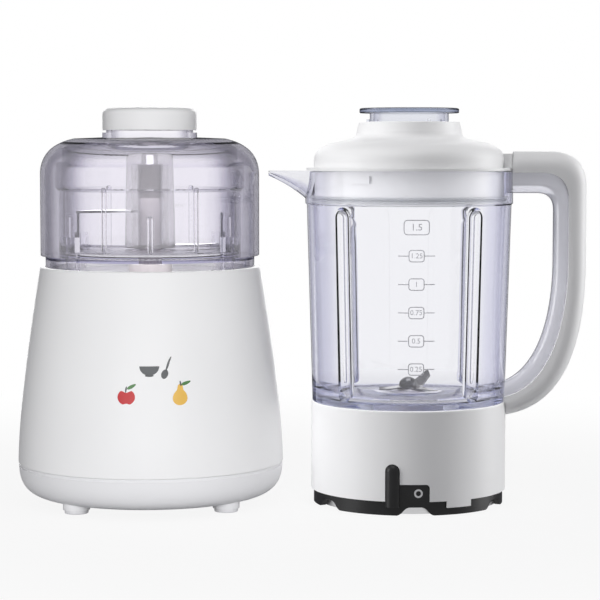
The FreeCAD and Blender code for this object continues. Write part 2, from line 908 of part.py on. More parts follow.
def switch_plate():
    out_r = flank_r(switch_plate_top_z) - housing_wall - switch_plate_gap
    plate = tube(out_r, switch_plate_in_r, switch_plate_z, switch_plate_top_z)
    holes = []
    for r, circle_r, angles in (
        (screw_post_r + seat_gap, post_circle_r, side_angles),
        (plunger_r + move_gap, plunger_circle_r, corner_angles),
    ):
        holes += [upright(r, circle_r, angle, switch_plate_z, switch_plate_top_z) for angle in angles]
    return plate.cut(holes)


def start_switch():
    body = box_between(
        -switch_length / 2, switch_length / 2, -switch_width / 2, switch_width / 2, 0, switch_height
    )
    body = body.rotated(ORIGIN, UP, switch_angle)
    body = body.translated(polar(plunger_circle_r, switch_angle, switch_plate_z - switch_height))
    well_z = switch_plate_z - plunger_tip - press_travel - move_gap
    well = upright(plunger_r + move_gap, plunger_circle_r, switch_angle, well_z, switch_plate_z)
    return body.cut(well)


def switch_plungers():
    group = []
    for angle in corner_angles:
        stem = upright(plunger_r, plunger_circle_r, angle, switch_plate_z - plunger_tip, plunger_top_z)
        collar_top = collar_z + plunger_collar_height
        collar = upright(plunger_collar_r, plunger_circle_r, angle, collar_z, collar_top)
        group.append(stem.fuse(collar))
    return Part.makeCompound(group)


def plunger_springs():
    """Four coil springs between the switch plate and the plungers' collars."""
    coil_r = plunger_collar_r - spring_wire_r
    length = spring_room - 2 * spring_wire_r - 2 * run_gap
    path = Part.makeHelix(length / spring_turns, length, coil_r)
    start = path.Edges[0].valueAt(path.Edges[0].FirstParameter)
    along = path.Edges[0].tangentAt(path.Edges[0].FirstParameter)
    section = Part.Wire(Part.makeCircle(spring_wire_r, start, along))
    wire = Part.Wire(path.Edges).makePipeShell([section], True, True)
    z0 = switch_plate_top_z + spring_wire_r + run_gap
    return Part.makeCompound([wire.translated(polar(plunger_circle_r, a, z0)) for a in corner_angles])


def cord_gland():
    seat_y = flank_r(gland_z) - gland_seat_depth
    along = V(0, 1, 0)
    flange = Part.makeCylinder(gland_flange_r, gland_flange_thick, V(0, seat_y, gland_z), along)
    sleeve = Part.makeCylinder(gland_r, gland_length, V(0, seat_y - gland_length, gland_z), along)
    bore_length = gland_length + gland_flange_thick
    bore = Part.makeCylinder(cord_hole_r, bore_length, V(0, seat_y - gland_length, gland_z), along)
    return flange.fuse(sleeve).cut(bore)


# Chopper


def chopper_bowl():
    corner_z = flange_z + bowl_corner_r
    shell = turned(
        (bowl_skirt_in_r, deck_z),
        (bowl_skirt_r, deck_z),
        (bowl_skirt_r, flange_z),
        (bowl_r, flange_z),
        (bowl_r, bowl_rim_low_z - bowl_rim_out),
        (bowl_rim_r, bowl_rim_low_z),
        (bowl_rim_r, bowl_rim_z),
        (bowl_rim_in_r, bowl_rim_z),
        (bowl_rim_in_r, bowl_rim_low_z),
        (bowl_in_r, bowl_rim_low_z - bowl_rim_out),
        (bowl_in_r, corner_z),
        [(bowl_in_r, flange_z), (bowl_in_r - bowl_corner_r, flange_z)],
        (tower_r + tower_foot_r, flange_z),
        [(tower_r, flange_z), (tower_r, flange_z + tower_foot_r)],
        (tower_r, tower_top_z),
        (bush_r, tower_top_z),
        (bush_r, bowl_boss_z),
        (bowl_boss_r, bowl_boss_z),
        (bowl_boss_r, floor_low_z),
        (bowl_skirt_in_r, floor_low_z),
    )
    ribs = []
    for height, first in ((tall_rib_height, 180 / rib_count), (short_rib_height, 0)):
        top_z = flange_z + height - rib_r
        for angle in spread(rib_count, first):
            stem = upright(rib_r, bowl_in_r, angle, flange_z - blend, top_z)
            tip = Part.makeSphere(rib_r, polar(bowl_in_r, angle, top_z))
            ribs.append(stem.fuse(tip))
    half = math.degrees((post_width / 2 + move_gap) / post_in_r)
    slots = []
    for angle in post_angles:
        r_in = post_in_r - move_gap
        slots.append(sector(r_in, bowl_skirt_in_r, floor_low_z, flange_z, angle - half, angle + half))
    return shell.fuse(ribs).cut(slots)


def bowl_bush():
    return tube(bush_r, spindle_r + run_gap, bowl_boss_z, tower_top_z)


def hexagon(r, z0, z1):
    """Hexagonal bar, r from its axis to a corner."""
    points = [V(r * math.cos(math.radians(60 * i)), r * math.sin(math.radians(60 * i)), z0) for i in range(7)]
    return Part.Face(Part.makePolygon(points)).extrude(V(0, 0, z1 - z0))


def bowl_spindle():
    low_z = bowl_cup_z + cup_height - cup_top_thick
    round_top_z = tower_top_z + move_gap
    return disc(spindle_r, low_z, round_top_z).fuse(
        hexagon(spindle_hex_r, round_top_z, round_top_z + spindle_hex_height - run_gap)
    )


def driven_coupling():
    return coupling_cup(bowl_cup_z, bowl_spindle())


def chopper_blades():
    """Two swept blades, one above the other on opposite sides of the hub."""
    root_r = tower_r + 2 * move_gap + bush_wall
    half = chopper_blade_root / 2
    tip = V(chopper_blade_reach, chopper_blade_sweep / 2, 0)
    belly_x = chopper_blade_reach * chopper_blade_belly
    front = Part.BezierCurve()
    front.setPoles([V(root_r, -half, 0), V(belly_x, -half - chopper_blade_sweep, 0), tip])
    back = Part.BezierCurve()
    back.setPoles([tip, V(belly_x, 0, 0), V(root_r, half, 0)])
    root = Part.LineSegment(V(root_r, half, 0), V(root_r, -half, 0))
    face = Part.Face(Part.Wire([front.toShape(), back.toShape(), root.toShape()]))
    blade = face.extrude(V(0, 0, chopper_blade_thick))
    low_z = hub_z + low_blade_lift
    low = blade.translated(V(0, 0, low_z)).rotated(ORIGIN, UP, chopper_blade_angle)
    high = blade.translated(V(0, 0, low_z + blade_step)).rotated(ORIGIN, UP, chopper_blade_angle + 180)
    return Part.makeCompound([low, high])


def blade_hub():
    bore_r = tower_r + 2 * move_gap
    foot_bore_r = bore_r + tower_foot_r
    body = turned(
        (foot_bore_r, hub_z),
        (hub_low_r, hub_z),
        (hub_top_r, hub_top_z - hub_round),
        [(hub_top_r, hub_top_z), (hub_top_r - hub_round, hub_top_z)],
        (0, hub_top_z),
        (0, tower_top_z + move_gap),
        (bore_r, tower_top_z + move_gap),
        (bore_r, hub_z + tower_foot_r),
    )
    return body.cut([bowl_spindle()] + chopper_blades().Solids)


def press_ring():
    ring = tube(post_out_r, post_out_r - press_ring_width, press_z, press_z + press_ring_thick)
    half = math.degrees(post_width / 2 / post_in_r)
    posts = [sector(post_in_r, post_out_r, press_z, post_top_z, a - half, a + half) for a in post_angles]
    return ring.fuse(posts).removeSplitter()


def dome_cover():
    pole_z = dome_shoulder_z + dome_shoulder_pole
    inner_crown_z = dome_crown_z - dome_wall
    shell = turned(
        (dome_in_r, dome_low_z),
        (dome_r - dome_edge_round, dome_low_z),
        [(dome_r, dome_low_z), (dome_r, dome_low_z + dome_edge_round)],
        (dome_r, dome_shoulder_z),
        [(dome_r, pole_z), (dome_crown_r, dome_crown_z)],
        (bead_r, dome_top_z),
        (bead_r, dome_top_z + bead_height),
        (neck_r, dome_top_z + bead_height),
        (neck_r, neck_top_z),
        (neck_in_r, neck_top_z),
        (neck_in_r, dome_top_z - dome_wall),
        (dome_crown_r, inner_crown_z),
        [(dome_in_r, pole_z - dome_wall), (dome_in_r, dome_shoulder_z)],
    )
    skirt_r = bowl_rim_in_r - dome_skirt_gap
    skirt_top_z = dome_crown_z - dome_wall - blend
    skirt = tube(skirt_r, skirt_r - dome_skirt_wall, bowl_rim_z - bowl_rim_wall, skirt_top_z)
    half = math.degrees(post_width / 2 / post_in_r)
    lug_z = post_top_z + rest_gap
    lug_top_z = lug_z + dome_lug_height
    lugs = [sector(post_in_r, dome_in_r + blend, lug_z, lug_top_z, a - half, a + half) for a in post_angles]
    return shell.fuse([skirt] + lugs)


def dome_cap():
    return turned(
        (cap_in_r, cap_low_z),
        (cap_r, cap_low_z),
        (cap_r, cap_top_z - cap_round),
        [(cap_r, cap_top_z), (cap_r - cap_round, cap_top_z)],
        [(cap_r / 2, cap_top_z + cap_crown), (0, cap_top_z + cap_crown)],
        (0, cap_ceiling_z),
        (cap_in_r, cap_ceiling_z),
    )


def cap_gasket():
    return tube(neck_r - seat_gap, neck_in_r + seat_gap, neck_top_z, cap_ceiling_z)


# Blender jug


def jug_outer():
    """Outer form of the jug, without flutes and spout."""
    return turned(
        (0, jug_neck_low_z),
        (jug_neck_r, jug_neck_low_z),
        (jug_neck_r, collar_top_z),
        (jug_low_r - jug_edge_round, collar_top_z),
        [(jug_low_r, collar_top_z), (jug_low_r, collar_top_z + jug_edge_round)],
        (jug_top_r, jug_step_z - jug_rim_out),
        (jug_rim_r, jug_step_z),
        (jug_rim_r, jug_rim_z - jug_edge_round),
        [(jug_rim_r, jug_rim_z), (jug_rim_r - jug_edge_round, jug_rim_z)],
        (0, jug_rim_z),
    )


def flute(angle, r):
    """Round-ended upright bar that follows the jug's taper, for the groove or the rib behind it."""
    slope = (jug_top_r - jug_low_r) / jug_body_height
    low = polar(jug_low_r + slope * flute_low + flute_out, angle, collar_top_z + flute_low)
    high_rise = jug_body_height - flute_top
    high = polar(jug_low_r + slope * high_rise + flute_out, angle, collar_top_z + high_rise)
    along = high - low
    bar = Part.makeCylinder(r, along.Length, low, along)
    return bar.fuse([Part.makeSphere(r, low), Part.makeSphere(r, high)])


def jug_inside():
    """Space inside the jug, drawn in where the flutes stand."""
    floor_corner_z = jug_floor_z + jug_floor_round
    room = turned(
        (0, jug_floor_z),
        (jug_low_r - jug_wall - jug_floor_round, jug_floor_z),
        [(jug_low_r - jug_wall, jug_floor_z), (jug_low_r - jug_wall, floor_corner_z)],
        (jug_top_r - jug_wall, jug_step_z),
        (jug_mouth_r, jug_step_z),
        (jug_mouth_r, jug_rim_z + cut_over),
        (0, jug_rim_z + cut_over),
    )
    return room.cut([flute(angle, flute_r + jug_wall) for angle in flute_angles])


def spout_form(wall, top_z):
    """Beak that runs out of the rim: the outer form with no wall, or its channel drawn in by the wall."""
    sections = []
    root_x = -jug_mouth_r + jug_rim_wall
    tip_x = -(jug_rim_r + spout_reach) + wall
    for share in (0.0, 0.5, 1.0):
        x = root_x + share * (tip_x - root_x)
        half = spout_root_half + share * (spout_tip_half - spout_root_half) - wall
        depth = spout_root_depth + share * (spout_tip_depth - spout_root_depth) - wall
        depth -= spout_hollow * 4 * share * (1 - share)
        left = V(x, -half, jug_rim_z)
        right = V(x, half, jug_rim_z)
        belly = Part.Arc(left, V(x, 0, jug_rim_z - depth), right).toShape()
        lift = V(0, 0, top_z - jug_rim_z)
        if lift.Length == 0:
            sections.append(Part.Wire([belly, Part.LineSegment(right, left).toShape()]))
            continue
        rim = [right, right + lift, left + lift, left]
        sides = [Part.LineSegment(a, b).toShape() for a, b in zip(rim, rim[1:])]
        sections.append(Part.Wire([belly] + sides))
    return Part.makeLoft(sections, True)


def jug():
    neck_bore = disc(jug_neck_r - jug_neck_wall, jug_neck_low_z, jug_floor_low_z)
    hole = disc(jug_hole_r, jug_floor_low_z, jug_floor_z)
    grooves = [flute(angle, flute_r) for angle in flute_angles]
    body = jug_outer().fuse(spout_form(0, jug_rim_z)).cut(grooves)
    body = body.cut([jug_inside(), spout_form(spout_wall, jug_rim_z + cut_over), neck_bore, hole])
    lug_z = collar_top_z - bayonet_drop
    lug_in_r = jug_neck_r - blend
    lugs = [
        sector(lug_in_r, jug_neck_r + bayonet_reach, lug_z, lug_z + bayonet_height, a, a + bayonet_arc)
        for a in spread(bayonet_count, bayonet_first)
    ]
    return body.fuse(lugs)


def handle_curves():
    """The handle's three contours, from the jug out along the arm, down the grip and back in."""
    start_x = jug_low_r - jug_neck_set_in
    top_z = jug_rim_z + handle_top_rise
    core_top_z = jug_rim_z - core_top_drop
    arm_low_z = jug_rim_z - arm_low_drop
    grip_low_z = jug_rim_z - grip_low_drop

    def contour(x, z, bend, end_z, tail):
        drop, set_in, rise = tail
        return [
            (start_x, z),
            (x - bend, z),
            [(x, z), (x, z - bend)],
            (x, grip_low_z),
            [(x, grip_low_z - drop), (x - set_in, end_z + rise), (start_x + jug_edge_round, end_z)],
        ]

    outer = contour(handle_out_x, top_z, handle_bend, collar_top_z - grip_end_drop, grip_tail)
    middle = contour(handle_mid_x, core_top_z, core_bend, collar_top_z + core_end_rise, core_tail)
    inner = contour(handle_in_x, arm_low_z, arm_bend, collar_top_z + arm_end_rise, arm_tail)
    return outer, middle, inner


def handle_band(outer, inner, width, rounding, round_outer):
    """Solid between two contours, with the edges along one of them rounded."""
    inner_points = [step[-1] if isinstance(step, list) else step for step in inner]
    back = []
    for i in range(len(inner) - 1, 0, -1):
        if isinstance(inner[i], list):
            back.append(inner[i][-2::-1] + [inner_points[i - 1]])
        else:
            back.append(inner_points[i - 1])
    face = profile(outer[0], *outer[1:], inner_points[-1], *back)
    solid = face.translated(V(0, -width / 2, 0)).extrude(V(0, width, 0))
    contour = outer if round_outer else inner
    ends = [step[-1] if isinstance(step, list) else step for step in contour]
    chosen = []
    for edge in solid.Edges:
        if abs(abs(edge.CenterOfMass.y) - width / 2) > 1e-4:
            continue
        first, last = [(v.Point.x, v.Point.z) for v in edge.Vertexes]
        for a, b in zip(ends, ends[1:]):
            if {near(first, a, b), near(last, a, b)} == {0, 1}:
                chosen.append(edge)
    return solid.makeFillet(rounding, chosen)


def near(point, a, b):
    """Tells which of two contour ends a corner lies at, or None."""
    for i, end in enumerate((a, b)):
        if math.hypot(point[0] - end[0], point[1] - end[1]) < 1e-4:
            return i
    return None


def handle_core():
    _, middle, inner = handle_curves()
    return handle_band(middle, inner, core_width, core_round, False).cut(jug_outer())


def handle_cover():
    outer, middle, _ = handle_curves()
    cover = handle_band(outer, middle, grip_width, grip_round, True)
    rim_room = disc(jug_rim_r + seat_gap, jug_step_z, lid_top_z)
    collar_room = disc(collar_r + move_gap, 0, collar_top_z + move_gap)
    return cover.cut([jug_outer(), rim_room, collar_room])


def angle_of(point):
    return math.degrees(math.atan2(point.x, -point.y))


def tab_block(r_out, z0, grow):
    """The locking ring's tab with its one rounded upper corner or, grown all round, the room for it."""
    margin = math.degrees(grow / collar_r)
    start, end = tab_angles
    top_z = tab_top_z + grow
    block = sector(ring_in_r, r_out, z0, top_z, start - margin, end + margin)
    corner = []
    for edge in block.Edges:
        ends = [v.Point for v in edge.Vertexes]
        if all(abs(p.z - top_z) < 1e-4 and abs(angle_of(p) - end - margin) < 1e-3 for p in ends):
            corner.append(edge)
    return block.makeFillet(tab_round, corner)


def collar_windows():
    """Openings in the collar's lower edge for the locking ring's rod and tab."""
    r = rod_r + seat_gap
    slot = upright(r, rod_circle_r, rod_angle, 0, rod_top_z - rod_r)
    crown = Part.makeSphere(r, polar(rod_circle_r, rod_angle, rod_top_z - rod_r))
    return [slot, crown, tab_block(collar_r + cut_over, 0, seat_gap)]


def jug_collar():
    thread_r = jug_neck_r + move_gap
    shell = turned(
        (collar_in_r, collar_low_z),
        (collar_r, collar_low_z),
        (collar_r, collar_top_z - collar_edge_round),
        [(collar_r, collar_top_z), (collar_r - collar_edge_round, collar_top_z)],
        (thread_r, collar_top_z),
        (thread_r, shelf_top_z),
        (shelf_in_r, shelf_top_z),
        (shelf_in_r, shelf_z),
        (collar_in_r, shelf_z),
    )
    start, end = collar_tab_angles
    tab_z = collar_low_z - collar_tab_drop
    tab = sector(collar_r - collar_tab_thick, collar_r, tab_z, collar_low_z + blend, start, end)
    channels = []
    channel_r = jug_neck_r + bayonet_reach + move_gap
    lug_z = collar_top_z - bayonet_drop
    for angle in spread(bayonet_count, bayonet_first):
        low = angle - bayonet_turn - bayonet_play
        z0 = lug_z - move_gap
        z1 = lug_z + bayonet_height + move_gap
        channels.append(sector(jug_neck_r, channel_r, z0, z1, low, angle + bayonet_arc + bayonet_play))
        entry_end = low + bayonet_arc + 2 * bayonet_play
        channels.append(sector(jug_neck_r, channel_r, z0, collar_top_z + cut_over, low, entry_end))
    return shell.fuse(tab).cut(collar_windows() + channels)


def locking_ring():
    web_z = collar_low_z + spigot_height - web_thick
    ring = turned(
        (ring_in_r, 0),
        (ring_r, 0),
        (ring_r, collar_low_z),
        (spigot_r, collar_low_z),
        (spigot_r, collar_low_z + spigot_height),
        (ring_in_r - web_width, collar_low_z + spigot_height),
        (ring_in_r - web_width, web_z),
        (ring_in_r, web_z),
    )
    stem = upright(rod_r, rod_circle_r, rod_angle, arch_height, rod_top_z - rod_r)
    crown = Part.makeSphere(rod_r, polar(rod_circle_r, rod_angle, rod_top_z - rod_r))
    rod = stem.fuse(crown).cut(disc(ring_in_r, 0, rod_top_z))
    tab = tab_block(collar_r - tab_set_in, arch_height, 0)
    return ring.fuse([rod, tab]).cut(spun(ring_arch(), spread(arch_count, arch_first)))


def ring_arch():
    """Cutting tool for one arch in the ring's lower edge: a bell curve that runs out flat at its feet."""
    flank_half = (arch_foot_half + arch_top_half) / 2
    rising = [
        (arch_foot_half, 0),
        (flank_half, arch_flank * arch_height),
        (arch_top_half, arch_shoulder * arch_height),
    ]
    left = [V(-x, -collar_r, z) for x, z in rising]
    right = [V(x, -collar_r, z) for x, z in reversed(rising)]
    bell = Part.BSplineCurve()
    bell.interpolate(left + [V(0, -collar_r, arch_height)] + right)
    low_left = V(-arch_foot_half, -collar_r, -cut_over)
    low_right = V(arch_foot_half, -collar_r, -cut_over)
    below = Part.makePolygon([right[-1], low_right, low_left, left[0]])
    return Part.Face(Part.Wire([bell.toShape()] + below.Edges)).extrude(V(0, ring_wall * 3, 0))


def foot_ring():
    z1 = foot_ring_lift + foot_ring_height
    return tube(ring_in_r, ring_in_r - foot_ring_wall, foot_ring_lift, z1)


def blade_holder():
    spigot_r = jug_hole_r - holder_spigot_gap
    return turned(
        (bush_r, holder_hub_low_z),
        (holder_hub_r, holder_hub_low_z),
        (holder_hub_r, shelf_z),
        (shelf_in_r - seat_gap, shelf_z),
        (shelf_in_r - seat_gap, shelf_top_z),
        (holder_flange_r, shelf_top_z),
        (holder_flange_r, shelf_top_z + holder_flange_thick),
        (holder_body_r, shelf_top_z + holder_flange_thick),
        (holder_body_r, holder_shoulder_z),
        (spigot_r, holder_shoulder_z),
        (spigot_r, jug_floor_z),
        (holder_hub_r, jug_floor_z),
        (holder_hub_r, jug_floor_z + holder_cone_low),
        (holder_cone_top_r, holder_top_z),
        (bush_r, holder_top_z),
    )


def holder_gasket():
    return tube(holder_body_r - seat_gap, jug_hole_r, holder_shoulder_z, jug_floor_low_z)


def spindle_bush():
    return tube(bush_r, spindle_r + run_gap, holder_hub_low_z, holder_top_z)


def blade_spindle():
    return disc(spindle_r, jug_cup_top_z - cup_top_thick, nut_z + nut_height - jug_blade_thick)


def jug_coupling():
    return coupling_cup(jug_cup_lift, blade_spindle())


def blade_arm(z, reach, bend, forked):
    """Arm of a jug blade towards +X, bent up or down at the hub, with a forked or a slanted tip."""
    root = jug_blade_root / 2
    tip = jug_blade_tip / 2
    start = jug_blade_hub_r / 2
    if forked:
        end = [V(reach, -tip, z), V(reach - jug_blade_fork, 0, z), V(reach, tip, z)]
    else:
        end = [V(reach - jug_blade_slant, -tip, z), V(reach, tip, z)]
    near_side = [V(start, -root, z), V(jug_blade_hub_r, -root, z)]
    far_side = [V(jug_blade_hub_r, root, z), V(start, root, z)]
    points = near_side + end + far_side
    arm = Part.Face(Part.makePolygon(points + points[:1])).extrude(V(0, 0, jug_blade_thick))
    inner = arm.common(box_between(0, jug_blade_hub_r, -root, root, z, z + jug_blade_thick))
    outer = arm.cut(box_between(0, jug_blade_hub_r, -root, root, z, z + jug_blade_thick))
    hinge_z = z + jug_blade_thick if bend > 0 else z
    outer = outer.rotated(V(jug_blade_hub_r, 0, hinge_z), V(0, 1, 0), -bend)
    knee = Part.makeCylinder(
        jug_blade_thick, jug_blade_root, V(jug_blade_hub_r, -root, hinge_z), V(0, 1, 0)
    )
    slab = box_between(0, reach, -root, root, z, z + jug_blade_thick)
    return inner.fuse([outer, knee.common(slab)])


def bent_blade(z, reach, bends, angle):
    """Two-armed blade on the spindle, one arm with a slanted tip and the other with a forked one."""
    hub = disc(jug_blade_hub_r, z, z + jug_blade_thick)
    first = blade_arm(z, reach, bends[0], False)
    second = blade_arm(z, reach, bends[1], True).rotated(ORIGIN, UP, 180)
    blade = hub.fuse([first, second]).cut(disc(spindle_r, z - cut_over, z + reach))
    return blade.rotated(ORIGIN, UP, angle)


def lower_blade():
    return bent_blade(lower_blade_z, lower_blade_reach, lower_blade_bends, lower_blade_angle)


def upper_blade():
    return bent_blade(upper_blade_z, upper_blade_reach, upper_blade_bends, upper_blade_angle)


def blade_nut():
    body = hexagon(nut_r, nut_z, nut_z + nut_height)
    crown = Part.makeSphere(nut_height, V(0, 0, nut_z))
    return body.common(crown).cut(blade_spindle())


def jug_lid():
    tube_low_z = lid_top_z - lid_tube_drop
    tube_r = filler_hole_r + lid_tube_wall
    in_r = lid_skirt_r - lid_wall
    crown_in_z = lid_crown_z - lid_wall
    lip_r = jug_rim_r - lid_lip_inset
    lip_z = jug_rim_z + rest_gap
    shell = turned(
        (in_r, lid_low_z),
        (lid_skirt_r, lid_low_z),
        (lid_skirt_r, lip_z),
        (lip_r, lip_z),
        (lip_r, lip_z + lid_lip_thick),
        (lid_r, lip_z + lid_lip_thick),
        (lid_r, lid_shoulder_z),
        [(lid_r, lid_crown_z - lid_wall), (lid_crown_r, lid_crown_z)],
        (lid_neck_low_r + lid_neck_fillet, lid_neck_z - lid_edge_round),
        [(lid_neck_low_r, lid_neck_z), (lid_neck_low_r, lid_neck_z + lid_neck_fillet)],
        (lid_neck_top_r, lid_top_z - lid_edge_round),
        [(lid_neck_top_r, lid_top_z), (lid_neck_top_r - lid_edge_round, lid_top_z)],
        (filler_hole_r, lid_top_z),
        (filler_hole_r, tube_low_z),
        (tube_r, tube_low_z),
        (tube_r, crown_in_z),
        (lid_crown_r, crown_in_z),
        [(in_r, crown_in_z - lid_wall), (in_r, lid_shoulder_z)],
    )
    start, end = lid_tab_angles
    tab_z = jug_rim_z - lid_tab_drop
    tab_r = lid_skirt_r + lid_tab_thick
    tab = sector(lid_skirt_r - blend, tab_r, tab_z, tab_z + lid_tab_height, start, end)
    grip_r = jug_rim_r - move_gap
    half = math.degrees(lid_grip_width / 2 / grip_r)
    grip = sector(in_r + blend, grip_r, lip_z, lip_z + lid_grip_height, 90 - half, 90 + half)
    return shell.fuse([grip] + spun(tab, (0, 180)))


def lid_gasket():
    """Soft ring with two lips that seals the lid in the jug's mouth."""
    lip_r = jug_mouth_r - rest_gap
    root_r = lid_skirt_r + lid_gap / 2
    return turned(
        (lid_skirt_r, lid_low_z),
        (lip_r, lid_low_z),
        (lip_r, lid_low_z + gasket_height / 4),
        (root_r, lid_low_z + gasket_height / 2),
        (lip_r, lid_low_z + gasket_height * 3 / 4),
        (lip_r, lid_low_z + gasket_height),
        (lid_skirt_r, lid_low_z + gasket_height),
    )


def filler_cap():
    plate_z = lid_top_z + filler_rise
    top_z = plate_z + filler_plate_thick
    in_r = filler_r - filler_wall
    body = turned(
        (in_r, lid_top_z - filler_drop),
        (filler_r, lid_top_z - filler_drop),
        (filler_r, plate_z),
        (filler_plate_r - filler_wall / 2, plate_z),
        [(filler_plate_r, plate_z), (filler_plate_r, plate_z + filler_wall / 2)],
        (filler_plate_r, top_z - filler_wall / 2),
        [(filler_plate_r, top_z), (filler_plate_r - filler_wall, top_z)],
        (0, top_z),
        (0, top_z - filler_wall),
        (in_r, top_z - filler_wall),
    )
    lug_top_z = lid_top_z + filler_lug_height
    lug = sector(filler_r - blend, filler_r + filler_lug_out, lid_top_z, lug_top_z, 0, filler_lug_arc)
    return body.fuse(spun(lug, spread(filler_lugs)))


BASE_NODES = (
    base_housing,
    base_bottom_cover,
    foot_pads,
    cover_screws,
    motor_screws,
    motor_dampers,
    lower_bracket,
    upper_bracket,
    lower_bearing,
    upper_bearing,
    tie_bolts,
    stator_core,
    field_coils,
    armature_core,
    armature_windings,
    commutator,
    carbon_brushes,
    brush_holders,
    motor_shaft,
    cooling_fan,
    drive_coupling,
    deck_seal,
    switch_plate,
    start_switch,
    switch_plungers,
    plunger_springs,
    cord_gland,
    chopper_bowl,
    bowl_bush,
    bowl_spindle,
    driven_coupling,
    chopper_blades,
    blade_hub,
    press_ring,
    dome_cover,
    dome_cap,
    cap_gasket,
)

JUG_NODES = (
    jug,
    handle_core,
    handle_cover,
    jug_collar,
    locking_ring,
    foot_ring,
    blade_holder,
    holder_gasket,
    spindle_bush,
    blade_spindle,
    jug_coupling,
    lower_blade,
    upper_blade,
    blade_nut,
    jug_lid,
    lid_gasket,
    filler_cap,
)


def main():
    os.makedirs("parts", exist_ok=True)
    for nodes, x, turn in ((BASE_NODES, base_x, base_turn), (JUG_NODES, jug_x, jug_turn)):
        for make in nodes:
            shape = make().rotated(ORIGIN, UP, turn).translated(V(x, 0, 0))
            shape.exportStep("parts/" + make.__name__ + ".step")
            print(make.__name__, len(shape.Solids), shape.isValid(), round(shape.Volume, 1))


main()
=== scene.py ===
# %% [markdown]
# # Baby food maker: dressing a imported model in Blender
#
# The set has two units: a white motor base that carries a clear chopper under a press-down dome, and a
# clear blender jug with a white lid, collar and handle. The solids come ready made from the CAD frame,
# in metres, at their real places. This lesson photographs them: first the camera and the studio, then
# one finish after another, and last the small moulded and printed pieces that only show from close by.

# %% Load the frame
import json
import math
import bmesh
import bpy
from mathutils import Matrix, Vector


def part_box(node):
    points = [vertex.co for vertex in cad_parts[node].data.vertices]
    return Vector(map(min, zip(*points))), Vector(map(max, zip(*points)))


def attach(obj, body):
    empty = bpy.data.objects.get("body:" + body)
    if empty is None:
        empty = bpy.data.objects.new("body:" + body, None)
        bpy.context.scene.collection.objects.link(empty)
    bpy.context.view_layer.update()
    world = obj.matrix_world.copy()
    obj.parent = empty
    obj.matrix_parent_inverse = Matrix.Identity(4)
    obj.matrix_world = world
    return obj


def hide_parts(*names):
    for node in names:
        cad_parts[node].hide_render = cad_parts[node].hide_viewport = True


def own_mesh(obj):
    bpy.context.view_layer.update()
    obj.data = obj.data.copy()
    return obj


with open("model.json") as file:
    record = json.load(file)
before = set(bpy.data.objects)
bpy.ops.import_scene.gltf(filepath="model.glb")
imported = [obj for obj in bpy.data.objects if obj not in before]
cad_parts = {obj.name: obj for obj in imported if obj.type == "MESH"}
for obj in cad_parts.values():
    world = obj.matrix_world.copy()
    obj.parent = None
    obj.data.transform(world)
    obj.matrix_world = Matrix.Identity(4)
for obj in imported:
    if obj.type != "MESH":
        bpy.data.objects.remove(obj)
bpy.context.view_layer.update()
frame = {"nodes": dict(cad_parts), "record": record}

nodes = frame["nodes"]

# %% [markdown]
# ## The camera
#
# A product shot like this is taken from a little above the table with a long lens, so that the uprights
# stay straight and the front rims show as shallow curves. A shift lens would also do it, but a plain
# tilt keeps every other view true, so the camera just looks down by a few degrees.

# %% Camera
CAMERA_PLACE = (-0.0009, -1.449, 0.2429)
CAMERA_TILT = math.radians(4.085)
FOCAL_PIXELS = 2100.0
FRAME_PIXELS = 600.0
SENSOR_WIDTH = 36.0

bpy.ops.object.select_all(action="DESELECT")
bpy.ops.object.camera_add(location=CAMERA_PLACE, rotation=(math.pi / 2 - CAMERA_TILT, 0, 0))
camera = bpy.context.object
camera.name = "camera"
camera.data.sensor_width = SENSOR_WIDTH
camera.data.lens = SENSOR_WIDTH * FOCAL_PIXELS / FRAME_PIXELS
bpy.context.scene.camera = camera
print("lens", round(camera.data.lens, 1), "mm")

# %% [markdown]
# ## Small helpers for shaders
#
# A material is a graph of nodes. A few short functions make such a graph readable: one adds a node and
# sets its values, one starts a material, and the others add the slow unevenness and the fine grain of
# real surfaces.

# %% Node helpers
def add_node(tree, kind, **values):
    """Adds a node and fills its input sockets, or its settings where no socket has that name."""
    node = tree.nodes.new(kind)
    for name, value in values.items():
        if name in node.inputs:
            node.inputs[name].default_value = value
        else:
            setattr(node, name, value)
    return node


def start_material(name):
    """A material with only its output and a Principled shader, and the tree to add to."""
    material = bpy.data.materials.new(name)
    material.use_nodes = True
    tree = material.node_tree
    tree.nodes.clear()
    output = add_node(tree, "ShaderNodeOutputMaterial")
    shader = add_node(tree, "ShaderNodeBsdfPrincipled")
    tree.links.new(shader.outputs["BSDF"], output.inputs["Surface"])
    return material, tree, shader, output


def noise_range(tree, scale, low, high, detail=3.0, stretch=(1, 1, 1)):
    """Noise in object space, mapped to a range."""
    coordinates = add_node(tree, "ShaderNodeTexCoord")
    mapping = add_node(tree, "ShaderNodeMapping", Scale=stretch)
    noise = add_node(tree, "ShaderNodeTexNoise", Scale=scale, Detail=detail)
    spread = add_node(tree, "ShaderNodeMapRange")
    spread.inputs["To Min"].default_value = low
    spread.inputs["To Max"].default_value = high
    tree.links.new(coordinates.outputs["Object"], mapping.inputs["Vector"])
    tree.links.new(mapping.outputs["Vector"], noise.inputs["Vector"])
    tree.links.new(noise.outputs["Fac"], spread.inputs["Value"])
    return noise, spread


def add_ramp(tree, source, stops):
    """A colour ramp behind a value, from (position, colour) stops."""
    ramp = add_node(tree, "ShaderNodeValToRGB")
    elements = ramp.color_ramp.elements
    while len(elements) < len(stops):
        elements.new(0.5)
    for element, (position, colour) in zip(elements, stops):
        element.position = position
        element.color = (*colour, 1)
    tree.links.new(source, ramp.inputs["Fac"])
    return ramp


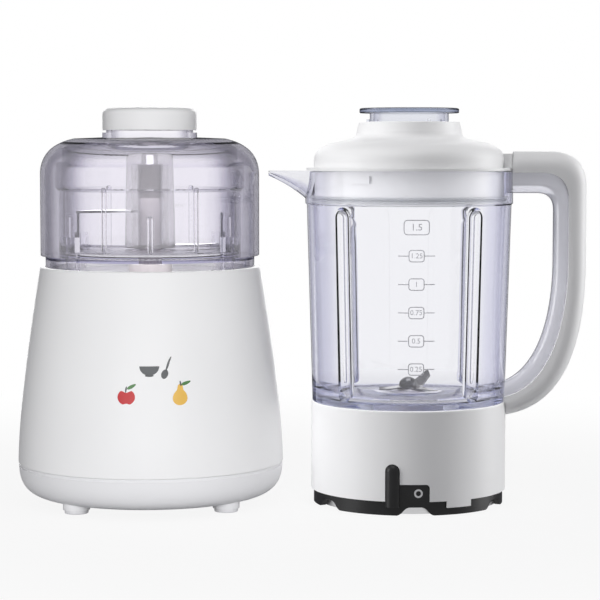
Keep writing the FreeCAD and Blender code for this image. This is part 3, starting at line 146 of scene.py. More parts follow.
def add_grain(tree, shader, scale, strength, height, stretch=(1, 1, 1)):
    """Fine bump on a shader's normal, for spark-eroded or drawn surfaces."""
    noise, _ = noise_range(tree, scale, 0, 1, 2.0, stretch)
    bump = add_node(tree, "ShaderNodeBump", Strength=strength, Distance=height)
    tree.links.new(noise.outputs["Fac"], bump.inputs["Height"])
    tree.links.new(bump.outputs["Normal"], shader.inputs["Normal"])


def add_colour_drift(tree, shader, scale, first, second):
    """Lets the colour wander slowly between two close tones."""
    noise, _ = noise_range(tree, scale, 0, 1)
    ramp = add_ramp(tree, noise.outputs["Fac"], ((0.3, first), (0.7, second)))
    tree.links.new(ramp.outputs["Color"], shader.inputs["Base Color"])


def add_roughness_drift(tree, shader, scale, low, high, stretch=(1, 1, 1)):
    """Lets the gloss wander slowly."""
    _, spread = noise_range(tree, scale, low, high, 3.0, stretch)
    tree.links.new(spread.outputs["Result"], shader.inputs["Roughness"])


def add_studio_rays(tree):
    """1 for rays that the camera, a mirror or clear plastic sends out, and 0 for light that only bounces."""
    path = add_node(tree, "ShaderNodeLightPath")
    seen = add_node(tree, "ShaderNodeMath", operation="MAXIMUM")
    seen_all = add_node(tree, "ShaderNodeMath", operation="MAXIMUM")
    tree.links.new(path.outputs["Is Camera Ray"], seen.inputs[0])
    tree.links.new(path.outputs["Is Glossy Ray"], seen.inputs[1])
    tree.links.new(seen.outputs["Value"], seen_all.inputs[0])
    tree.links.new(path.outputs["Is Transmission Ray"], seen_all.inputs[1])
    return seen_all.outputs["Value"]


print("helpers ready")

# %% [markdown]
# ## The studio
#
# The set stands on white ground against white. The white comes from the ground and the world as the
# camera, mirrors and clear plastic see them, and not from extra light on the object. The ground still
# takes the object's shadow, which fades into white further out. Round the white paper behind the set, a
# photographer hangs black cloth just out of the frame: clear plastic mirrors it in its edges, which
# gives it an outline. The world has that cloth too, behind the set, only reflections see it, and they
# look past the floor to it.

# %% Floor
FLOOR_RADIUS = 6.0
FLOOR_COLOUR = (0.80, 0.80, 0.81, 1)
SHADOW_SHARE = 0.10
SHADOW_START = 0.20
SHADOW_REACH = 0.70

bpy.ops.object.select_all(action="DESELECT")
bpy.ops.mesh.primitive_circle_add(vertices=96, radius=FLOOR_RADIUS, fill_type="NGON", location=(0, 0, 0))
floor = bpy.context.object
floor.name = "floor"
floor.visible_glossy = False

floor_finish, tree, floor_shader, floor_output = start_material("floor_white")
floor_shader.inputs["Base Color"].default_value = FLOOR_COLOUR
floor_shader.inputs["Roughness"].default_value = 0.9
floor_shader.inputs["Specular IOR Level"].default_value = 0.1
glow = add_node(tree, "ShaderNodeEmission", Color=(1, 1, 1, 1), Strength=1.0)
blend = add_node(tree, "ShaderNodeMixShader")
place = add_node(tree, "ShaderNodeTexCoord")
distance = add_node(tree, "ShaderNodeVectorMath", operation="LENGTH")
fade = add_node(tree, "ShaderNodeMapRange", interpolation_type="SMOOTHSTEP")
fade.inputs["From Min"].default_value = SHADOW_START
fade.inputs["From Max"].default_value = SHADOW_REACH
fade.inputs["To Min"].default_value = 1.0 - SHADOW_SHARE
fade.inputs["To Max"].default_value = 1.0
share = add_node(tree, "ShaderNodeMath", operation="MULTIPLY")
tree.links.new(place.outputs["Object"], distance.inputs[0])
tree.links.new(distance.outputs["Value"], fade.inputs["Value"])
tree.links.new(fade.outputs["Result"], share.inputs[0])
tree.links.new(add_studio_rays(tree), share.inputs[1])
tree.links.new(share.outputs["Value"], blend.inputs["Fac"])
tree.links.new(floor_shader.outputs["BSDF"], blend.inputs[1])
tree.links.new(glow.outputs["Emission"], blend.inputs[2])
tree.links.new(blend.outputs["Shader"], floor_output.inputs["Surface"])
floor.data.materials.append(floor_finish)
print("floor", FLOOR_RADIUS, "m")

# %% World
WORLD_LIGHT = 0.20
ROOM_COLOUR = (0.97, 0.97, 1.0, 1)
CLOTH = (0.10, 0.10, 0.11)
PAPER = (1.0, 1.0, 1.0)
ROUND_THE_SET = ((0.68, PAPER), (0.78, CLOTH))

world = bpy.data.worlds.new("studio")
bpy.context.scene.world = world
world.use_nodes = True
tree = world.node_tree
tree.nodes.clear()
world_output = add_node(tree, "ShaderNodeOutputWorld")
backdrop = add_node(tree, "ShaderNodeBackground", Strength=1.0)
direction = add_node(tree, "ShaderNodeTexCoord")
axes = add_node(tree, "ShaderNodeSeparateXYZ")
behind = add_node(tree, "ShaderNodeMapRange")
behind.inputs["From Min"].default_value = -1.0
cloth = add_ramp(tree, behind.outputs["Result"], ROUND_THE_SET)
mirrored = add_node(tree, "ShaderNodeLightPath")
paper_or_cloth = add_node(tree, "ShaderNodeMix", data_type="RGBA")
paper_or_cloth.inputs["A"].default_value = (*PAPER, 1)
tree.links.new(direction.outputs["Generated"], axes.inputs["Vector"])
tree.links.new(axes.outputs["Y"], behind.inputs["Value"])
tree.links.new(mirrored.outputs["Is Reflection Ray"], paper_or_cloth.inputs["Factor"])
tree.links.new(cloth.outputs["Color"], paper_or_cloth.inputs["B"])
tree.links.new(paper_or_cloth.outputs["Result"], backdrop.inputs["Color"])
room = add_node(tree, "ShaderNodeBackground", Color=ROOM_COLOUR, Strength=WORLD_LIGHT)
blend = add_node(tree, "ShaderNodeMixShader")
tree.links.new(add_studio_rays(tree), blend.inputs["Fac"])
tree.links.new(room.outputs["Background"], blend.inputs[1])
tree.links.new(backdrop.outputs["Background"], blend.inputs[2])
tree.links.new(blend.outputs["Shader"], world_output.inputs["Surface"])
bpy.context.scene.view_settings.view_transform = "Standard"
print("world light", WORLD_LIGHT)

# %% [markdown]
# ## Soft boxes
#
# A photographer lights each thing as suits it. The base is round and matt, so one wide box from the
# front shapes it evenly towards both sides. The jug has boxes on both sides, which leave a grey band
# down the front of its collar and lid. Real studios keep such lights apart with flags. Here light
# linking does it: a lamp has a list of what it lights and what throws its shadow. Clear solids are left
# out of the lists, because a lamp shines through them. The chopper's milky hub has one of its own,
# which only lifts the white in it and isn't mirrored or seen through it. Lamps from behind keep the
# back from being dark. Light that gathers in the clear vessels would take very many rays to trace, so a
# small lamp in each shines down on what is under its floor.

# %% Lists of solids
JUG_BODIES = ("jug", "collar", "jug_blade", "lid", "filler")
CLEAR_SLOTS = ("clear_plastic", "jug_plastic", "hub_plastic")

slot_of = {part["node"]: part["material_slot"] for part in frame["record"]["subparts"]}
lit = {name: bpy.data.collections.new(name + "_list") for name in ("base", "jug", "both", "hub")}
ground = bpy.data.collections.new("ground")
ground.objects.link(floor)


def unit_of(body):
    """The unit that a body belongs to."""
    return "jug" if body in JUG_BODIES else "base"


for body, names in frame["record"]["behaviour"]["bodies"].items():
    for name in names:
        if slot_of[name] == "hub_plastic":
            lit["hub"].objects.link(nodes[name])
        if slot_of[name] in CLEAR_SLOTS:
            continue
        lit[unit_of(body)].objects.link(nodes[name])
        lit["both"].objects.link(nodes[name])

# %% Lamps
BASE_X = (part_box("base_housing")[0].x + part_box("base_housing")[1].x) / 2
JUG_X = (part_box("jug_collar")[0].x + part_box("jug_collar")[1].x) / 2
LOOK_AT_Z = 0.13

# Each lamp has its name, the axis it stands round, the angle in degrees, distance and height, the width and
# height of the box in metres, the power in watts and the list of what it lights.
LAMPS = (
    ("base_front", BASE_X, 1, 1.5, 0.35, (1.5, 0.8), 18.0, "base"),
    ("base_left", BASE_X, -80, 1.2, 0.35, (0.5, 0.9), 1.3, "base"),
    ("base_right", BASE_X, 80, 1.2, 0.60, (0.5, 0.9), 1.6, "base"),
    ("base_back", BASE_X, 180, 1.5, 0.30, (1.2, 0.8), 9.0, "base"),
    ("jug_left", JUG_X, -74, 1.1, 0.30, (0.5, 0.9), 8.2, "jug"),
    ("jug_right", JUG_X, 98, 1.1, 0.30, (0.5, 0.9), 9.8, "jug"),
    ("jug_top", JUG_X, -15, 0.38, 0.88, (0.5, 0.4), 2.4, "jug"),
    ("behind", 0.0, 180, 1.6, 0.9, (1.6, 0.9), 7.0, "both"),
    ("in_bowl", BASE_X, 0, 0.0, 0.21, (0.10, 0.10), 0.045, "base"),
    ("in_jug", JUG_X, 0, 0.0, 0.19, (0.08, 0.08), 0.06, "jug"),
)


def soft_box(name, around, angle, distance, height, size, power, solids=None):
    """A soft box at an angle from the front, positive to the right, that looks at the middle of a unit."""
    side = math.radians(angle)
    place = Vector((around + distance * math.sin(side), -distance * math.cos(side), height))
    bpy.ops.object.select_all(action="DESELECT")
    bpy.ops.object.light_add(type="AREA", location=place)
    lamp = bpy.context.object
    lamp.name = name
    lamp.data.shape = "RECTANGLE"
    lamp.data.size, lamp.data.size_y = size
    lamp.data.energy = power
    lamp.rotation_mode = "QUATERNION"
    lamp.rotation_quaternion = (Vector((around, 0, LOOK_AT_Z)) - place).to_track_quat("-Z", "Y")
    if solids:
        lamp.light_linking.receiver_collection = lit[solids]
        lamp.light_linking.blocker_collection = lit[solids]
    return lamp


for lamp in LAMPS:
    soft_box(*lamp)
hub_lamp = soft_box("on_hub", BASE_X, 1, 1.5, 0.35, (1.5, 0.8), 18.0, "hub")
hub_lamp.visible_glossy = False
hub_lamp.visible_transmission = False
ground_lamp = soft_box("ground_light", 0.0, 0, 0.3, 1.6, (1.6, 1.2), 5.5)
ground_lamp.light_linking.receiver_collection = ground

# %% [markdown]
# ## White and grey plastic
#
# The housing, lid, collar, handle cover and cap are white ABS with a soft satin polish. The bottom
# cover has a fine matt grain from a spark-eroded mould. A flat colour would look like paper, so the
# tone and the gloss drift a little and a very fine bump breaks up the highlights.

# %% White plastic
FINE_GRAIN = 0.00005
MOULD_GRAIN = 0.00008

white_plastic, tree, shader, _ = start_material("white_plastic")
shader.inputs["Specular IOR Level"].default_value = 0.15
add_colour_drift(tree, shader, 14.0, (0.85, 0.85, 0.855), (0.87, 0.87, 0.875))
add_roughness_drift(tree, shader, 60.0, 0.34, 0.42)
add_grain(tree, shader, 3200.0, 0.05, FINE_GRAIN)

pale_grey_plastic, tree, shader, _ = start_material("pale_grey_plastic")
shader.inputs["Specular IOR Level"].default_value = 0.1
add_colour_drift(tree, shader, 20.0, (0.79, 0.79, 0.805), (0.82, 0.82, 0.835))
add_roughness_drift(tree, shader, 80.0, 0.52, 0.62)
add_grain(tree, shader, 2400.0, 0.15, MOULD_GRAIN)
print("white and grey plastic")

# %% [markdown]
# ## Clear plastic
#
# Bowl, dome, jug and filler cap are clear SAN. Looked at squarely it is nearly colourless. Where the
# wall turns away, one looks along it through centimetres of plastic, and it goes violet grey: a volume
# that absorbs least of blue gives that. The dark violet-grey edges are painted shade: a tint on the base
# colour that follows the Layer Weight node's Facing, which is how far the surface is turned away. It is
# darkest in a band near the edge and lighter again at the most glancing, and stands in for the dark
# surroundings that the edges mirror and show through. Both work from every side. The filler cap is the
# jug's plastic with more of the blue dye that makers add against yellowing, and its wide rim, seen edge
# on, takes the painted edge shade in a bluer grey.

# %% Clear plastic
PLASTIC_IOR = 1.45
CLEAR_ROUGHNESS = (0.01, 0.03)
# Painted edge shade for bowl and dome: the share of the clear tint left at each Facing, darkest in a band
# before the edge.
BOWL_PAINTED_EDGE_SHADE = (
    (0.20, 1.0),
    (0.29, 0.91),
    (0.36, 0.79),
    (0.44, 0.56),
    (0.54, 0.37),
    (0.60, 0.32),
    (0.69, 0.22),
    (0.80, 0.24),
    (0.88, 0.48),
)
# Painted edge shade for the jug: darkest near 0.8 Facing and lighter again at the most glancing, where its
# floor is seen.
JUG_PAINTED_EDGE_SHADE = (
    (0.30, 1.0),
    (0.42, 0.78),
    (0.52, 0.72),
    (0.65, 0.68),
    (0.73, 0.48),
    (0.80, 0.24),
    (0.86, 0.80),
)


def clear_finish(name, painted_edge_shade, square_on, edge, depth, density):
    """Clear plastic with painted edge shade, a tint that deepens where the wall turns away, and a real tint
    in its depth.
    """
    material, tree, shader, output = start_material(name)
    shader.inputs["Transmission Weight"].default_value = 1.0
    shader.inputs["IOR"].default_value = PLASTIC_IOR
    # Painted shade: the base colour goes towards the edge colour as the surface turns away from the ray.
    facing = add_node(tree, "ShaderNodeLayerWeight", Blend=0.5)
    stops = []
    for turn, level in painted_edge_shade:
        stops.append((turn, tuple(level * s * e ** (1 - level) for s, e in zip(square_on, edge))))
    ramp = add_ramp(tree, facing.outputs["Facing"], stops)
    tree.links.new(ramp.outputs["Color"], shader.inputs["Base Color"])
    add_roughness_drift(tree, shader, 40.0, *CLEAR_ROUGHNESS)
    absorb = add_node(tree, "ShaderNodeVolumeAbsorption", Color=(*depth, 1), Density=density)
    tree.links.new(absorb.outputs["Volume"], output.inputs["Volume"])
    return material


clear_plastic = clear_finish(
    "clear_plastic", BOWL_PAINTED_EDGE_SHADE, (0.975, 0.968, 0.985), (1.0, 0.96, 1.20), (0.30, 0.28, 0.55), 9.0
)
jug_plastic = clear_finish(
    "jug_plastic", JUG_PAINTED_EDGE_SHADE, (0.945, 0.945, 0.960), (1.0, 1.0, 1.70), (0.10, 0.20, 0.70), 3.5
)
# The filler cap's wide rim takes a bluer painted edge shade.
filler_plastic = clear_finish(
    "filler_plastic", JUG_PAINTED_EDGE_SHADE, (0.90, 0.905, 0.93), (1.0, 1.0, 1.40), (0.25, 0.33, 0.52), 22.0
)
print("clear plastics")

# %% [markdown]
# ## Milky plastic and silicone
#
# The chopper's hub and the core of the handle are the same kind of plastic with a little white in it,
# so light goes through but shapes behind it blur. A Principled shader that is partly clear and partly
# plain does that.

# %% Milky plastics
def milky_finish(name, first, second, clear, low, high):
    """Plastic of which a share is clear and the rest white, with a colour and gloss that drift."""
    material, tree, shader, _ = start_material(name)
    shader.inputs["Transmission Weight"].default_value = clear
    shader.inputs["IOR"].default_value = PLASTIC_IOR
    add_colour_drift(tree, shader, 25.0, first, second)
    add_roughness_drift(tree, shader, 40.0, low, high)
    return material


hub_plastic = milky_finish("hub_plastic", (0.93, 0.92, 0.94), (0.95, 0.94, 0.96), 0.80, 0.10, 0.16)
core_plastic = milky_finish("core_plastic", (0.70, 0.70, 0.76), (0.74, 0.74, 0.80), 0.55, 0.10, 0.16)
silicone = milky_finish("silicone", (0.80, 0.81, 0.84), (0.84, 0.85, 0.88), 0.50, 0.35, 0.45)
holder_plastic = milky_finish("holder_plastic", (0.74, 0.73, 0.84), (0.78, 0.77, 0.88), 0.30, 0.22, 0.30)
print("milky plastics")

# %% [markdown]
# ## Black nylon, acetal and rubber
#
# The locking ring and the fan are black nylon with a satin mould finish, the couplings and the bowl's
# bush are off-white acetal. Feet, seals and dampers are rubber, which is duller and a little dusty.

# %% Dull plastics and rubber
def dull_finish(name, first, second, low, high, grain, shine=0.4):
    """An opaque finish whose colour and gloss drift between two values, with a moulded grain."""
    material, tree, shader, _ = start_material(name)
    shader.inputs["Specular IOR Level"].default_value = shine
    add_colour_drift(tree, shader, 30.0, first, second)
    add_roughness_drift(tree, shader, 90.0, low, high)
    add_grain(tree, shader, 2600.0, grain, MOULD_GRAIN)
    return material


black_plastic = dull_finish(
    "black_plastic", (0.008, 0.008, 0.009), (0.014, 0.014, 0.015), 0.30, 0.40, 0.12, 0.2
)
acetal = dull_finish("acetal", (0.74, 0.69, 0.70), (0.79, 0.74, 0.75), 0.35, 0.45, 0.10)
pale_rubber = dull_finish("pale_rubber", (0.72, 0.72, 0.74), (0.78, 0.78, 0.80), 0.6, 0.75, 0.25)
dark_rubber = dull_finish("dark_rubber", (0.03, 0.03, 0.03), (0.05, 0.05, 0.05), 0.65, 0.8, 0.25)
carbon = dull_finish("carbon", (0.03, 0.03, 0.03), (0.07, 0.07, 0.07), 0.5, 0.7, 0.3)
print("dull plastics and rubber")

# %% [markdown]
# ## Metals
#
# The blades are ground stainless steel, shafts are turned, screws are zinc plated, the motor's brackets
# are cast and its windings are enamelled copper. A metal takes nearly all its look from what it
# mirrors, so what differs is the colour, the gloss and the direction of the fine scratches, made by
# stretching the noise.

# %% Metals
DARKER_SHARE = 0.85


def metal_finish(name, colour, low, high, grain, stretch=(1, 1, 1)):
    """A bare metal with scratches along the stretch."""
    material, tree, shader, _ = start_material(name)
    darker = tuple(DARKER_SHARE * c for c in colour)
    shader.inputs["Metallic"].default_value = 1.0
    add_colour_drift(tree, shader, 50.0, darker, colour)
    add_roughness_drift(tree, shader, 120.0, low, high, stretch)
    add_grain(tree, shader, 900.0, grain, FINE_GRAIN, stretch)
    return material


ALONG_X = (0.04, 1, 1)
ROUND_Z = (0.2, 0.2, 4)
blade_steel = metal_finish("blade_steel", (0.14, 0.14, 0.15), 0.16, 0.30, 0.25, ALONG_X)
shaft_steel = metal_finish("shaft_steel", (0.84, 0.83, 0.85), 0.20, 0.30, 0.20, ROUND_Z)
fastener_steel = metal_finish("fastener_steel", (0.56, 0.56, 0.57), 0.28, 0.42, 0.20)
ring_steel = metal_finish("ring_steel", (0.62, 0.62, 0.63), 0.22, 0.34, 0.25, ROUND_Z)
core_steel = metal_finish("core_steel", (0.30, 0.30, 0.31), 0.40, 0.55, 0.50, ROUND_Z)
copper = metal_finish("copper", (0.72, 0.36, 0.18), 0.25, 0.40, 0.60, ROUND_Z)
cast_aluminium = metal_finish("cast_aluminium", (0.68, 0.69, 0.70), 0.40, 0.55, 0.60)
bronze = metal_finish("bronze", (0.60, 0.40, 0.20), 0.35, 0.50, 0.40)
print("metals")

# %% [markdown]
# ## Dressing the solids
#
# The record says which slot each solid belongs to. Every solid gets the finish of its slot in its own
# material slot, and the solid itself stays as it is.

# %% Dress
FINISHES = {
    "white_plastic": white_plastic,
    "pale_grey_plastic": pale_grey_plastic,
    "clear_plastic": clear_plastic,
    "jug_plastic": jug_plastic,
    "core_plastic": core_plastic,
    "holder_plastic": holder_plastic,
    "hub_plastic": hub_plastic,
    "black_plastic": black_plastic,
    "acetal": acetal,
    "pale_rubber": pale_rubber,
    "dark_rubber": dark_rubber,
    "silicone": silicone,
    "blade_steel": blade_steel,
    "shaft_steel": shaft_steel,
    "fastener_steel": fastener_steel,
    "ring_steel": ring_steel,
    "core_steel": core_steel,
    "copper": copper,
    "cast_aluminium": cast_aluminium,
    "bronze": bronze,
    "carbon": carbon,
}
TINTED = {"filler_cap": filler_plastic}
for part in frame["record"]["subparts"]:
    solid = nodes[part["node"]]
    finish = TINTED.get(part["node"], FINISHES[part["material_slot"]])
    for slot in solid.material_slots:
        slot.material = finish

# %% [markdown]
# ## Modelling helpers
#
# By hand, one adds a primitive, goes into edit mode, moves, insets or cuts some of it, and lets
# modifiers do the rest. These helpers are the steps in between: start with nothing selected, settle a
# piece so that its place is in its mesh, lay a flat piece on a round wall, join pieces, and let a
# finished piece ride on its body.

# %% Helpers for pieces
MM = 0.001
WALL_GAP = 0.02 * MM


def fresh():
    """Nothing selected, in object mode."""
    if bpy.context.object and bpy.context.object.mode != "OBJECT":
        bpy.ops.object.mode_set(mode="OBJECT")
    bpy.ops.object.select_all(action="DESELECT")


def only(piece):
    """Selects one piece and makes it the active one."""
    fresh()
    piece.select_set(True)
    bpy.context.view_layer.objects.active = piece


def settle(piece):
    """Moves the piece's place, turn and scale into its mesh."""
    only(piece)
    bpy.ops.object.transform_apply(location=True, rotation=True, scale=True)


def lay_on(piece, wall, thickness):
    """Projects a flat piece from the front on a round wall, as thick as ink or as a moulded line."""
    only(piece)
    bpy.ops.object.modifier_add(type="SHRINKWRAP")
    wrap = piece.modifiers[-1]
    wrap.wrap_method = "PROJECT"
    wrap.wrap_mode = "ABOVE_SURFACE"
    wrap.use_project_y = True
    wrap.use_positive_direction = True
    wrap.use_negative_direction = False
    wrap.target = wall
    wrap.offset = WALL_GAP
    bpy.ops.object.modifier_add(type="SOLIDIFY")
    layer = piece.modifiers[-1]
    layer.thickness = thickness
    layer.offset = 1.0
    for modifier in list(piece.modifiers):
        bpy.ops.object.modifier_apply(modifier=modifier.name)


def join(pieces):
    """Joins pieces into the first one."""
    fresh()
    for piece in pieces:
        piece.select_set(True)
    bpy.context.view_layer.objects.active = pieces[0]
    bpy.ops.object.join()
    return pieces[0]


def place_piece(piece, name, body, finish):
    """Names a piece, dresses it and lets it ride on its body, under the lamps of its unit."""
    piece.name = name
    piece.data.materials.clear()
    piece.data.materials.append(finish)
    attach(piece, body)
    lit[unit_of(body)].objects.link(piece)
    low, high = [Vector(corner) for corner in (piece.bound_box[0], piece.bound_box[6])]
    print(name, [round(v / MM, 2) for v in low], [round(v / MM, 2) for v in high])


print("base axis", round(BASE_X, 4), "jug axis", round(JUG_X, 4))

# %% [markdown]
# ## The print on the base
#
# A small colour print is on the front of the base: a bowl with a spoon, and an apple and a pear below
# them. It is pad printed, a tenth of a millimetre of ink on a curved wall. An image could be wrapped
# on, but a disc that is pulled into the shape of a fruit, projected on the wall and thickened needs no
# picture file and has a clean edge from close by.

# %% Inks
INK = 0.10 * MM
PRINT_Y = -0.12

red_ink = dull_finish("red_ink", (0.45, 0.008, 0.012), (0.56, 0.014, 0.018), 0.35, 0.45, 0.05)
yellow_ink = dull_finish("yellow_ink", (0.72, 0.42, 0.06), (0.80, 0.52, 0.12), 0.35, 0.45, 0.05)
green_ink = dull_finish("green_ink", (0.05, 0.15, 0.04), (0.08, 0.22, 0.06), 0.35, 0.45, 0.05)
grey_ink = dull_finish("grey_ink", (0.05, 0.055, 0.06), (0.08, 0.085, 0.09), 0.40, 0.50, 0.05)


def spot(x, z):
    """A point in front of the print, from millimetres beside the base's axis and above the table."""
    return Vector((BASE_X + x * MM, PRINT_Y, z * MM))


def ink_disc(x, z, width, height, turn=0.0):
    """A disc of ink in front of the base, in edit mode, ready to be pulled into shape."""
    fresh()
    bpy.ops.mesh.primitive_circle_add(
        vertices=40,
        radius=1.0,
        fill_type="TRIFAN",
        location=spot(x, z),
        rotation=(math.pi / 2, math.radians(turn), 0),
    )
    piece = bpy.context.object
    piece.scale = (width * MM / 2, height * MM / 2, 1)
    settle(piece)
    bpy.ops.object.mode_set(mode="EDIT")
    bpy.ops.mesh.select_all(action="SELECT")
    bpy.ops.mesh.subdivide(number_cuts=2)
    return piece


def pull(x, z, reach, shift_x, shift_z):
    """In edit mode: pulls the disc round a point of the print, softly up to a reach."""
    centre = spot(x, z)
    mesh = bmesh.from_edit_mesh(bpy.context.object.data)
    for vertex in mesh.verts:
        share = max(0.0, 1.0 - (vertex.co - centre).length / (reach * MM))
        vertex.co += Vector((shift_x, 0, shift_z)) * MM * share * share * (3 - 2 * share)
    bmesh.update_edit_mesh(bpy.context.object.data)


def trim_above(z):
    """In edit mode: cuts off what lies above a height."""
    bpy.ops.mesh.select_all(action="SELECT")
    bpy.ops.mesh.bisect(plane_co=(0, 0, z * MM), plane_no=(0, 0, 1), clear_outer=True)


def print_ink(pieces, name, ink):
    """Lays the pieces of one colour on the housing as one print."""
    piece = join(pieces)
    lay_on(piece, nodes["base_housing"], INK)
    place_piece(piece, name, "base", ink)


print("inks ready")

# %% Fruit
APPLE_X, PEAR_X = -10.0, 25.0
FRUIT_Z = 82.0

apple = ink_disc(APPLE_X, FRUIT_Z, 11.5, 10.5)
pull(APPLE_X, FRUIT_Z + 5.5, 4.5, 0, -2.4)
pull(APPLE_X, FRUIT_Z - 5.5, 3.0, 0, 1.0)
print_ink([apple], "print_apple", red_ink)

pear = ink_disc(PEAR_X, FRUIT_Z - 1.0, 9.5, 9.0)
pull(PEAR_X, FRUIT_Z + 4.0, 6.0, 0, 5.0)
pull(PEAR_X - 3.5, FRUIT_Z + 5.0, 3.5, 1.0, 0)
pull(PEAR_X + 3.5, FRUIT_Z + 5.0, 3.5, -1.0, 0)
print_ink([pear], "print_pear", yellow_ink)

apple_leaf = ink_disc(APPLE_X + 3.0, FRUIT_Z + 6.6, 5.6, 2.2, -28)
pull(APPLE_X + 5.4, FRUIT_Z + 7.9, 2.0, 0.8, 0.5)
pear_leaf = ink_disc(PEAR_X + 3.2, FRUIT_Z + 8.6, 5.6, 2.2, -20)
pull(PEAR_X + 5.8, FRUIT_Z + 9.6, 2.0, 0.8, 0.4)
print_ink([apple_leaf, pear_leaf], "print_leaves", green_ink)

apple_stem = ink_disc(APPLE_X - 0.2, FRUIT_Z + 4.9, 1.0, 4.2, 8)
pear_stem = ink_disc(PEAR_X + 0.2, FRUIT_Z + 8.6, 1.0, 3.6, -10)

# %% Bowl and spoon
BOWL_X = (APPLE_X + PEAR_X) / 2
BOWL_Z = 102.0

bowl = ink_disc(BOWL_X - 2.5, BOWL_Z, 13.0, 12.0)
trim_above(BOWL_Z)
bowl_foot = ink_disc(BOWL_X - 2.5, BOWL_Z - 6.1, 5.8, 1.5)
spoon_bowl = ink_disc(BOWL_X + 7.5, BOWL_Z - 5.2, 4.4, 6.2, 18)
spoon_handle = ink_disc(BOWL_X + 9.6, BOWL_Z + 1.2, 1.4, 9.4, 18)
pull(BOWL_X + 11.0, BOWL_Z + 5.4, 2.5, 0.5, 0.6)
print_ink([apple_stem, pear_stem, bowl, bowl_foot, spoon_bowl, spoon_handle], "print_tableware", grey_ink)

# %% [markdown]
# ## The jug's scale
#
# The litre marks are moulded on the front of the jug, a quarter of a litre apart: fine lines on both
# sides of a framed number. The frame starts as a plane, its corners are bevelled, it is inset, and the
# inner face goes, which leaves a thin outline. The numbers are text made into a mesh. All of it is
# projected on the outer wall and raised by 0.3 mm. It is frosted, so that it shows on the clear wall.

# %% Frosted lines
SCALE_X = 1.6
SCALE_Y = -0.12
MARK_RAISE = 0.30 * MM
LINE_WIDTH = 0.6
NUMBER_MERGE = 0.01 * MM

frosted = milky_finish("frosted", (0.66, 0.66, 0.69), (0.71, 0.71, 0.74), 0.50, 0.40, 0.50)


def scale_spot(x, z):
    """A point in front of the jug, from millimetres beside the scale's middle and above the table."""
    return Vector((JUG_X + (SCALE_X + x) * MM, SCALE_Y, z * MM))


def mark_plane(x, z, width, height):
    """A flat rectangle in front of the jug, in edit mode."""
    fresh()
    bpy.ops.mesh.primitive_plane_add(size=1.0, location=scale_spot(x, z), rotation=(math.pi / 2, 0, 0))
    piece = bpy.context.object
    piece.scale = (width * MM, height * MM, 1)
    settle(piece)
    bpy.ops.object.mode_set(mode="EDIT")
    bpy.ops.mesh.select_all(action="SELECT")
    return piece


def mark_frame(z, width, height, corner):
    """An outline with cut corners round a number."""
    piece = mark_plane(0, z, width, height)
    bpy.ops.mesh.bevel(offset=corner * MM, affect="VERTICES", segments=3)
    bpy.ops.mesh.select_all(action="SELECT")
    bpy.ops.mesh.inset(thickness=LINE_WIDTH * MM)
    bpy.ops.mesh.delete(type="FACE")
    bpy.ops.mesh.select_all(action="SELECT")
    bpy.ops.mesh.subdivide(number_cuts=3)
    bpy.ops.object.mode_set(mode="OBJECT")
    return piece


def mark_line(x, z, length):
    """A short level line, cut into steps so that it can follow the round wall."""
    piece = mark_plane(x, z, length, LINE_WIDTH)
    bpy.ops.mesh.subdivide(number_cuts=7)
    bpy.ops.object.mode_set(mode="OBJECT")
    return piece


def mark_number(text, z, height):
    """A number made of Blender's own letters."""
    fresh()
    bpy.ops.object.text_add(location=scale_spot(0, z), rotation=(math.pi / 2, 0, 0))
    number = bpy.context.object
    number.data.body = text
    number.data.size = height * MM
    number.data.align_x = "CENTER"
    number.data.align_y = "CENTER"
    number.data.resolution_u = 3
    bpy.ops.object.convert(target="MESH")
    piece = bpy.context.object
    settle(piece)
    bpy.ops.object.mode_set(mode="EDIT")
    bpy.ops.mesh.select_all(action="SELECT")
    bpy.ops.mesh.remove_doubles(threshold=NUMBER_MERGE)
    bpy.ops.object.mode_set(mode="OBJECT")
    return piece


print("scale tools ready")

# %% Scale
FIRST_MARK_Z = 98.1
MARK_STEP = 18.8
MARK_NUMBERS = ("0.25", "0.5", "0.75", "1", "1.25", "1.5")
FRAME_SIZE = (10.6, 8.2)
FRAME_CORNER = 2.0
NUMBER_HEIGHT = 4.8
LINE_LENGTH = 6.8
TOP_FRAME_SIZE = (17.2, 10.1)
TOP_FRAME_CORNER = 2.4
TOP_NUMBER_HEIGHT = 6.4

marks = []
for step, text in enumerate(MARK_NUMBERS[:-1]):
    z = FIRST_MARK_Z + step * MARK_STEP
    marks.append(mark_frame(z, *FRAME_SIZE, FRAME_CORNER))
    marks.append(mark_number(text, z, NUMBER_HEIGHT))
    for side in (-1, 1):
        marks.append(mark_line(side * (FRAME_SIZE[0] + LINE_LENGTH) / 2, z, LINE_LENGTH))
top_z = FIRST_MARK_Z + (len(MARK_NUMBERS) - 1) * MARK_STEP
marks.append(mark_frame(top_z, *TOP_FRAME_SIZE, TOP_FRAME_CORNER))
marks.append(mark_number(MARK_NUMBERS[-1], top_z, TOP_NUMBER_HEIGHT))
scale = join(marks)
lay_on(scale, nodes["jug"], MARK_RAISE)
place_piece(scale, "jug_scale", "jug", frosted)

# %% [markdown]
# ## The lock sign
#
# The tab of the locking ring carries a small pale ring, printed where the thumb finds it. A disc is
# inset and its middle taken out, and the rest is laid on the tab.

# %% Lock sign
SIGN_X, SIGN_Z = 3.6, 15.2
SIGN_R, SIGN_WIDTH = 2.9, 1.2

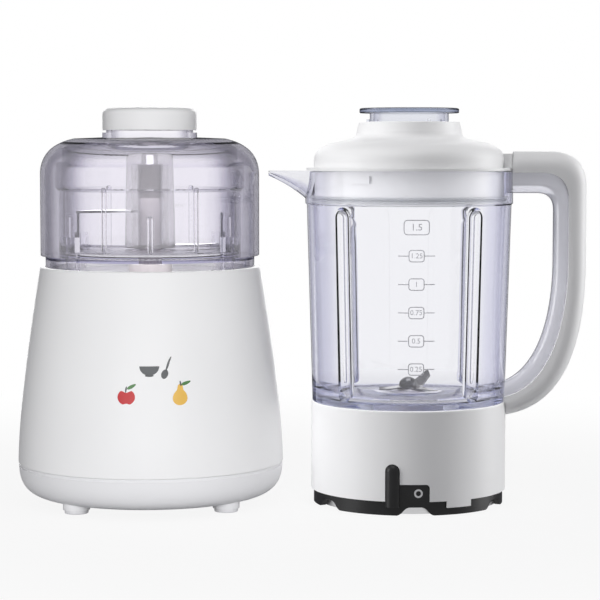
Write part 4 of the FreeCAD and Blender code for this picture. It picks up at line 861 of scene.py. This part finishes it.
pale_ink = dull_finish("pale_ink", (0.62, 0.62, 0.63), (0.68, 0.68, 0.69), 0.4, 0.5, 0.05)
fresh()
bpy.ops.mesh.primitive_circle_add(
    vertices=40,
    radius=SIGN_R * MM,
    fill_type="NGON",
    location=(JUG_X + SIGN_X * MM, PRINT_Y, SIGN_Z * MM),
    rotation=(math.pi / 2, 0, 0),
)
sign = bpy.context.object
settle(sign)
bpy.ops.object.mode_set(mode="EDIT")
bpy.ops.mesh.select_all(action="SELECT")
bpy.ops.mesh.inset(thickness=SIGN_WIDTH * MM)
bpy.ops.mesh.delete(type="FACE")
bpy.ops.mesh.select_all(action="SELECT")
bpy.ops.mesh.subdivide(number_cuts=1)
bpy.ops.object.mode_set(mode="OBJECT")
lay_on(sign, nodes["locking_ring"], INK)
place_piece(sign, "lock_sign", "collar", pale_ink)

# %% [markdown]
# ## The plungers' springs
#
# In the base, four coil springs hold up the plungers that start the motor when the dome is pressed. A
# solid from CAD keeps its length, so the springs are wound again here in its place, and that solid is
# hidden. A spring is a small circle that climbs while it turns round an axis. Spinning it step by step
# would do, and the Screw modifier does it in one go. One spring is wound, its two ends are closed, and
# copies stand in for the others.

# %% Springs
SPRING_CIRCLE_R = 65.3
SPRING_ANGLES = (49.1, 139.1, 229.1, 319.1)
COIL_R = 4.1
WIRE_R = 0.5
SPRING_TURNS = 6
STEPS_A_TURN = 20
SPRING_MERGE = 0.001 * MM

spring_low, spring_high = [corner.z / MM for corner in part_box("plunger_springs")]
climb = spring_high - spring_low - 2 * WIRE_R
fresh()
bpy.ops.mesh.primitive_circle_add(
    vertices=10,
    radius=WIRE_R * MM,
    location=(COIL_R * MM, 0, 0),
    rotation=(math.pi / 2, 0, 0),
)
spring = bpy.context.object
settle(spring)
bpy.ops.object.modifier_add(type="SCREW")
winding = spring.modifiers[-1]
winding.screw_offset = climb / SPRING_TURNS * MM
winding.iterations = SPRING_TURNS
winding.steps = STEPS_A_TURN
winding.render_steps = STEPS_A_TURN
bpy.ops.object.modifier_apply(modifier=winding.name)
bpy.ops.object.mode_set(mode="EDIT")
bpy.ops.mesh.select_all(action="SELECT")
bpy.ops.mesh.remove_doubles(threshold=SPRING_MERGE)
bpy.ops.mesh.select_all(action="SELECT")
bpy.ops.mesh.fill_holes(sides=0)
bpy.ops.mesh.select_all(action="SELECT")
bpy.ops.mesh.normals_make_consistent(inside=False)
bpy.ops.object.mode_set(mode="OBJECT")
print("spring faces", len(spring.data.polygons))

# %% Springs in place
springs = [spring]
for _ in SPRING_ANGLES[1:]:
    only(spring)
    bpy.ops.object.duplicate()
    springs.append(bpy.context.object)
across = SPRING_CIRCLE_R * MM
low_end = (spring_low + WIRE_R) * MM
for piece, angle in zip(springs, SPRING_ANGLES):
    turn = math.radians(angle)
    piece.location = (BASE_X + across * math.cos(turn), across * math.sin(turn), low_end)
    piece.rotation_euler = (0, 0, turn)
    settle(piece)
coils = join(springs)
only(coils)
bpy.ops.object.shade_smooth_by_angle()
place_piece(coils, "coil_springs", "base", fastener_steel)
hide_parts("plunger_springs")
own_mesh(coils)

# %% [markdown]
# ## Light through clear walls
#
# A ray crosses the dome, the bowl, the hub and all of them again at the back, so it needs more bounces
# than a scene of solid things.

# %% Bounces
scene = bpy.context.scene
scene.cycles.max_bounces = 28
scene.cycles.transmission_bounces = 24
scene.cycles.transparent_max_bounces = 24
scene.cycles.glossy_bounces = 8
print("bounces", scene.cycles.max_bounces)
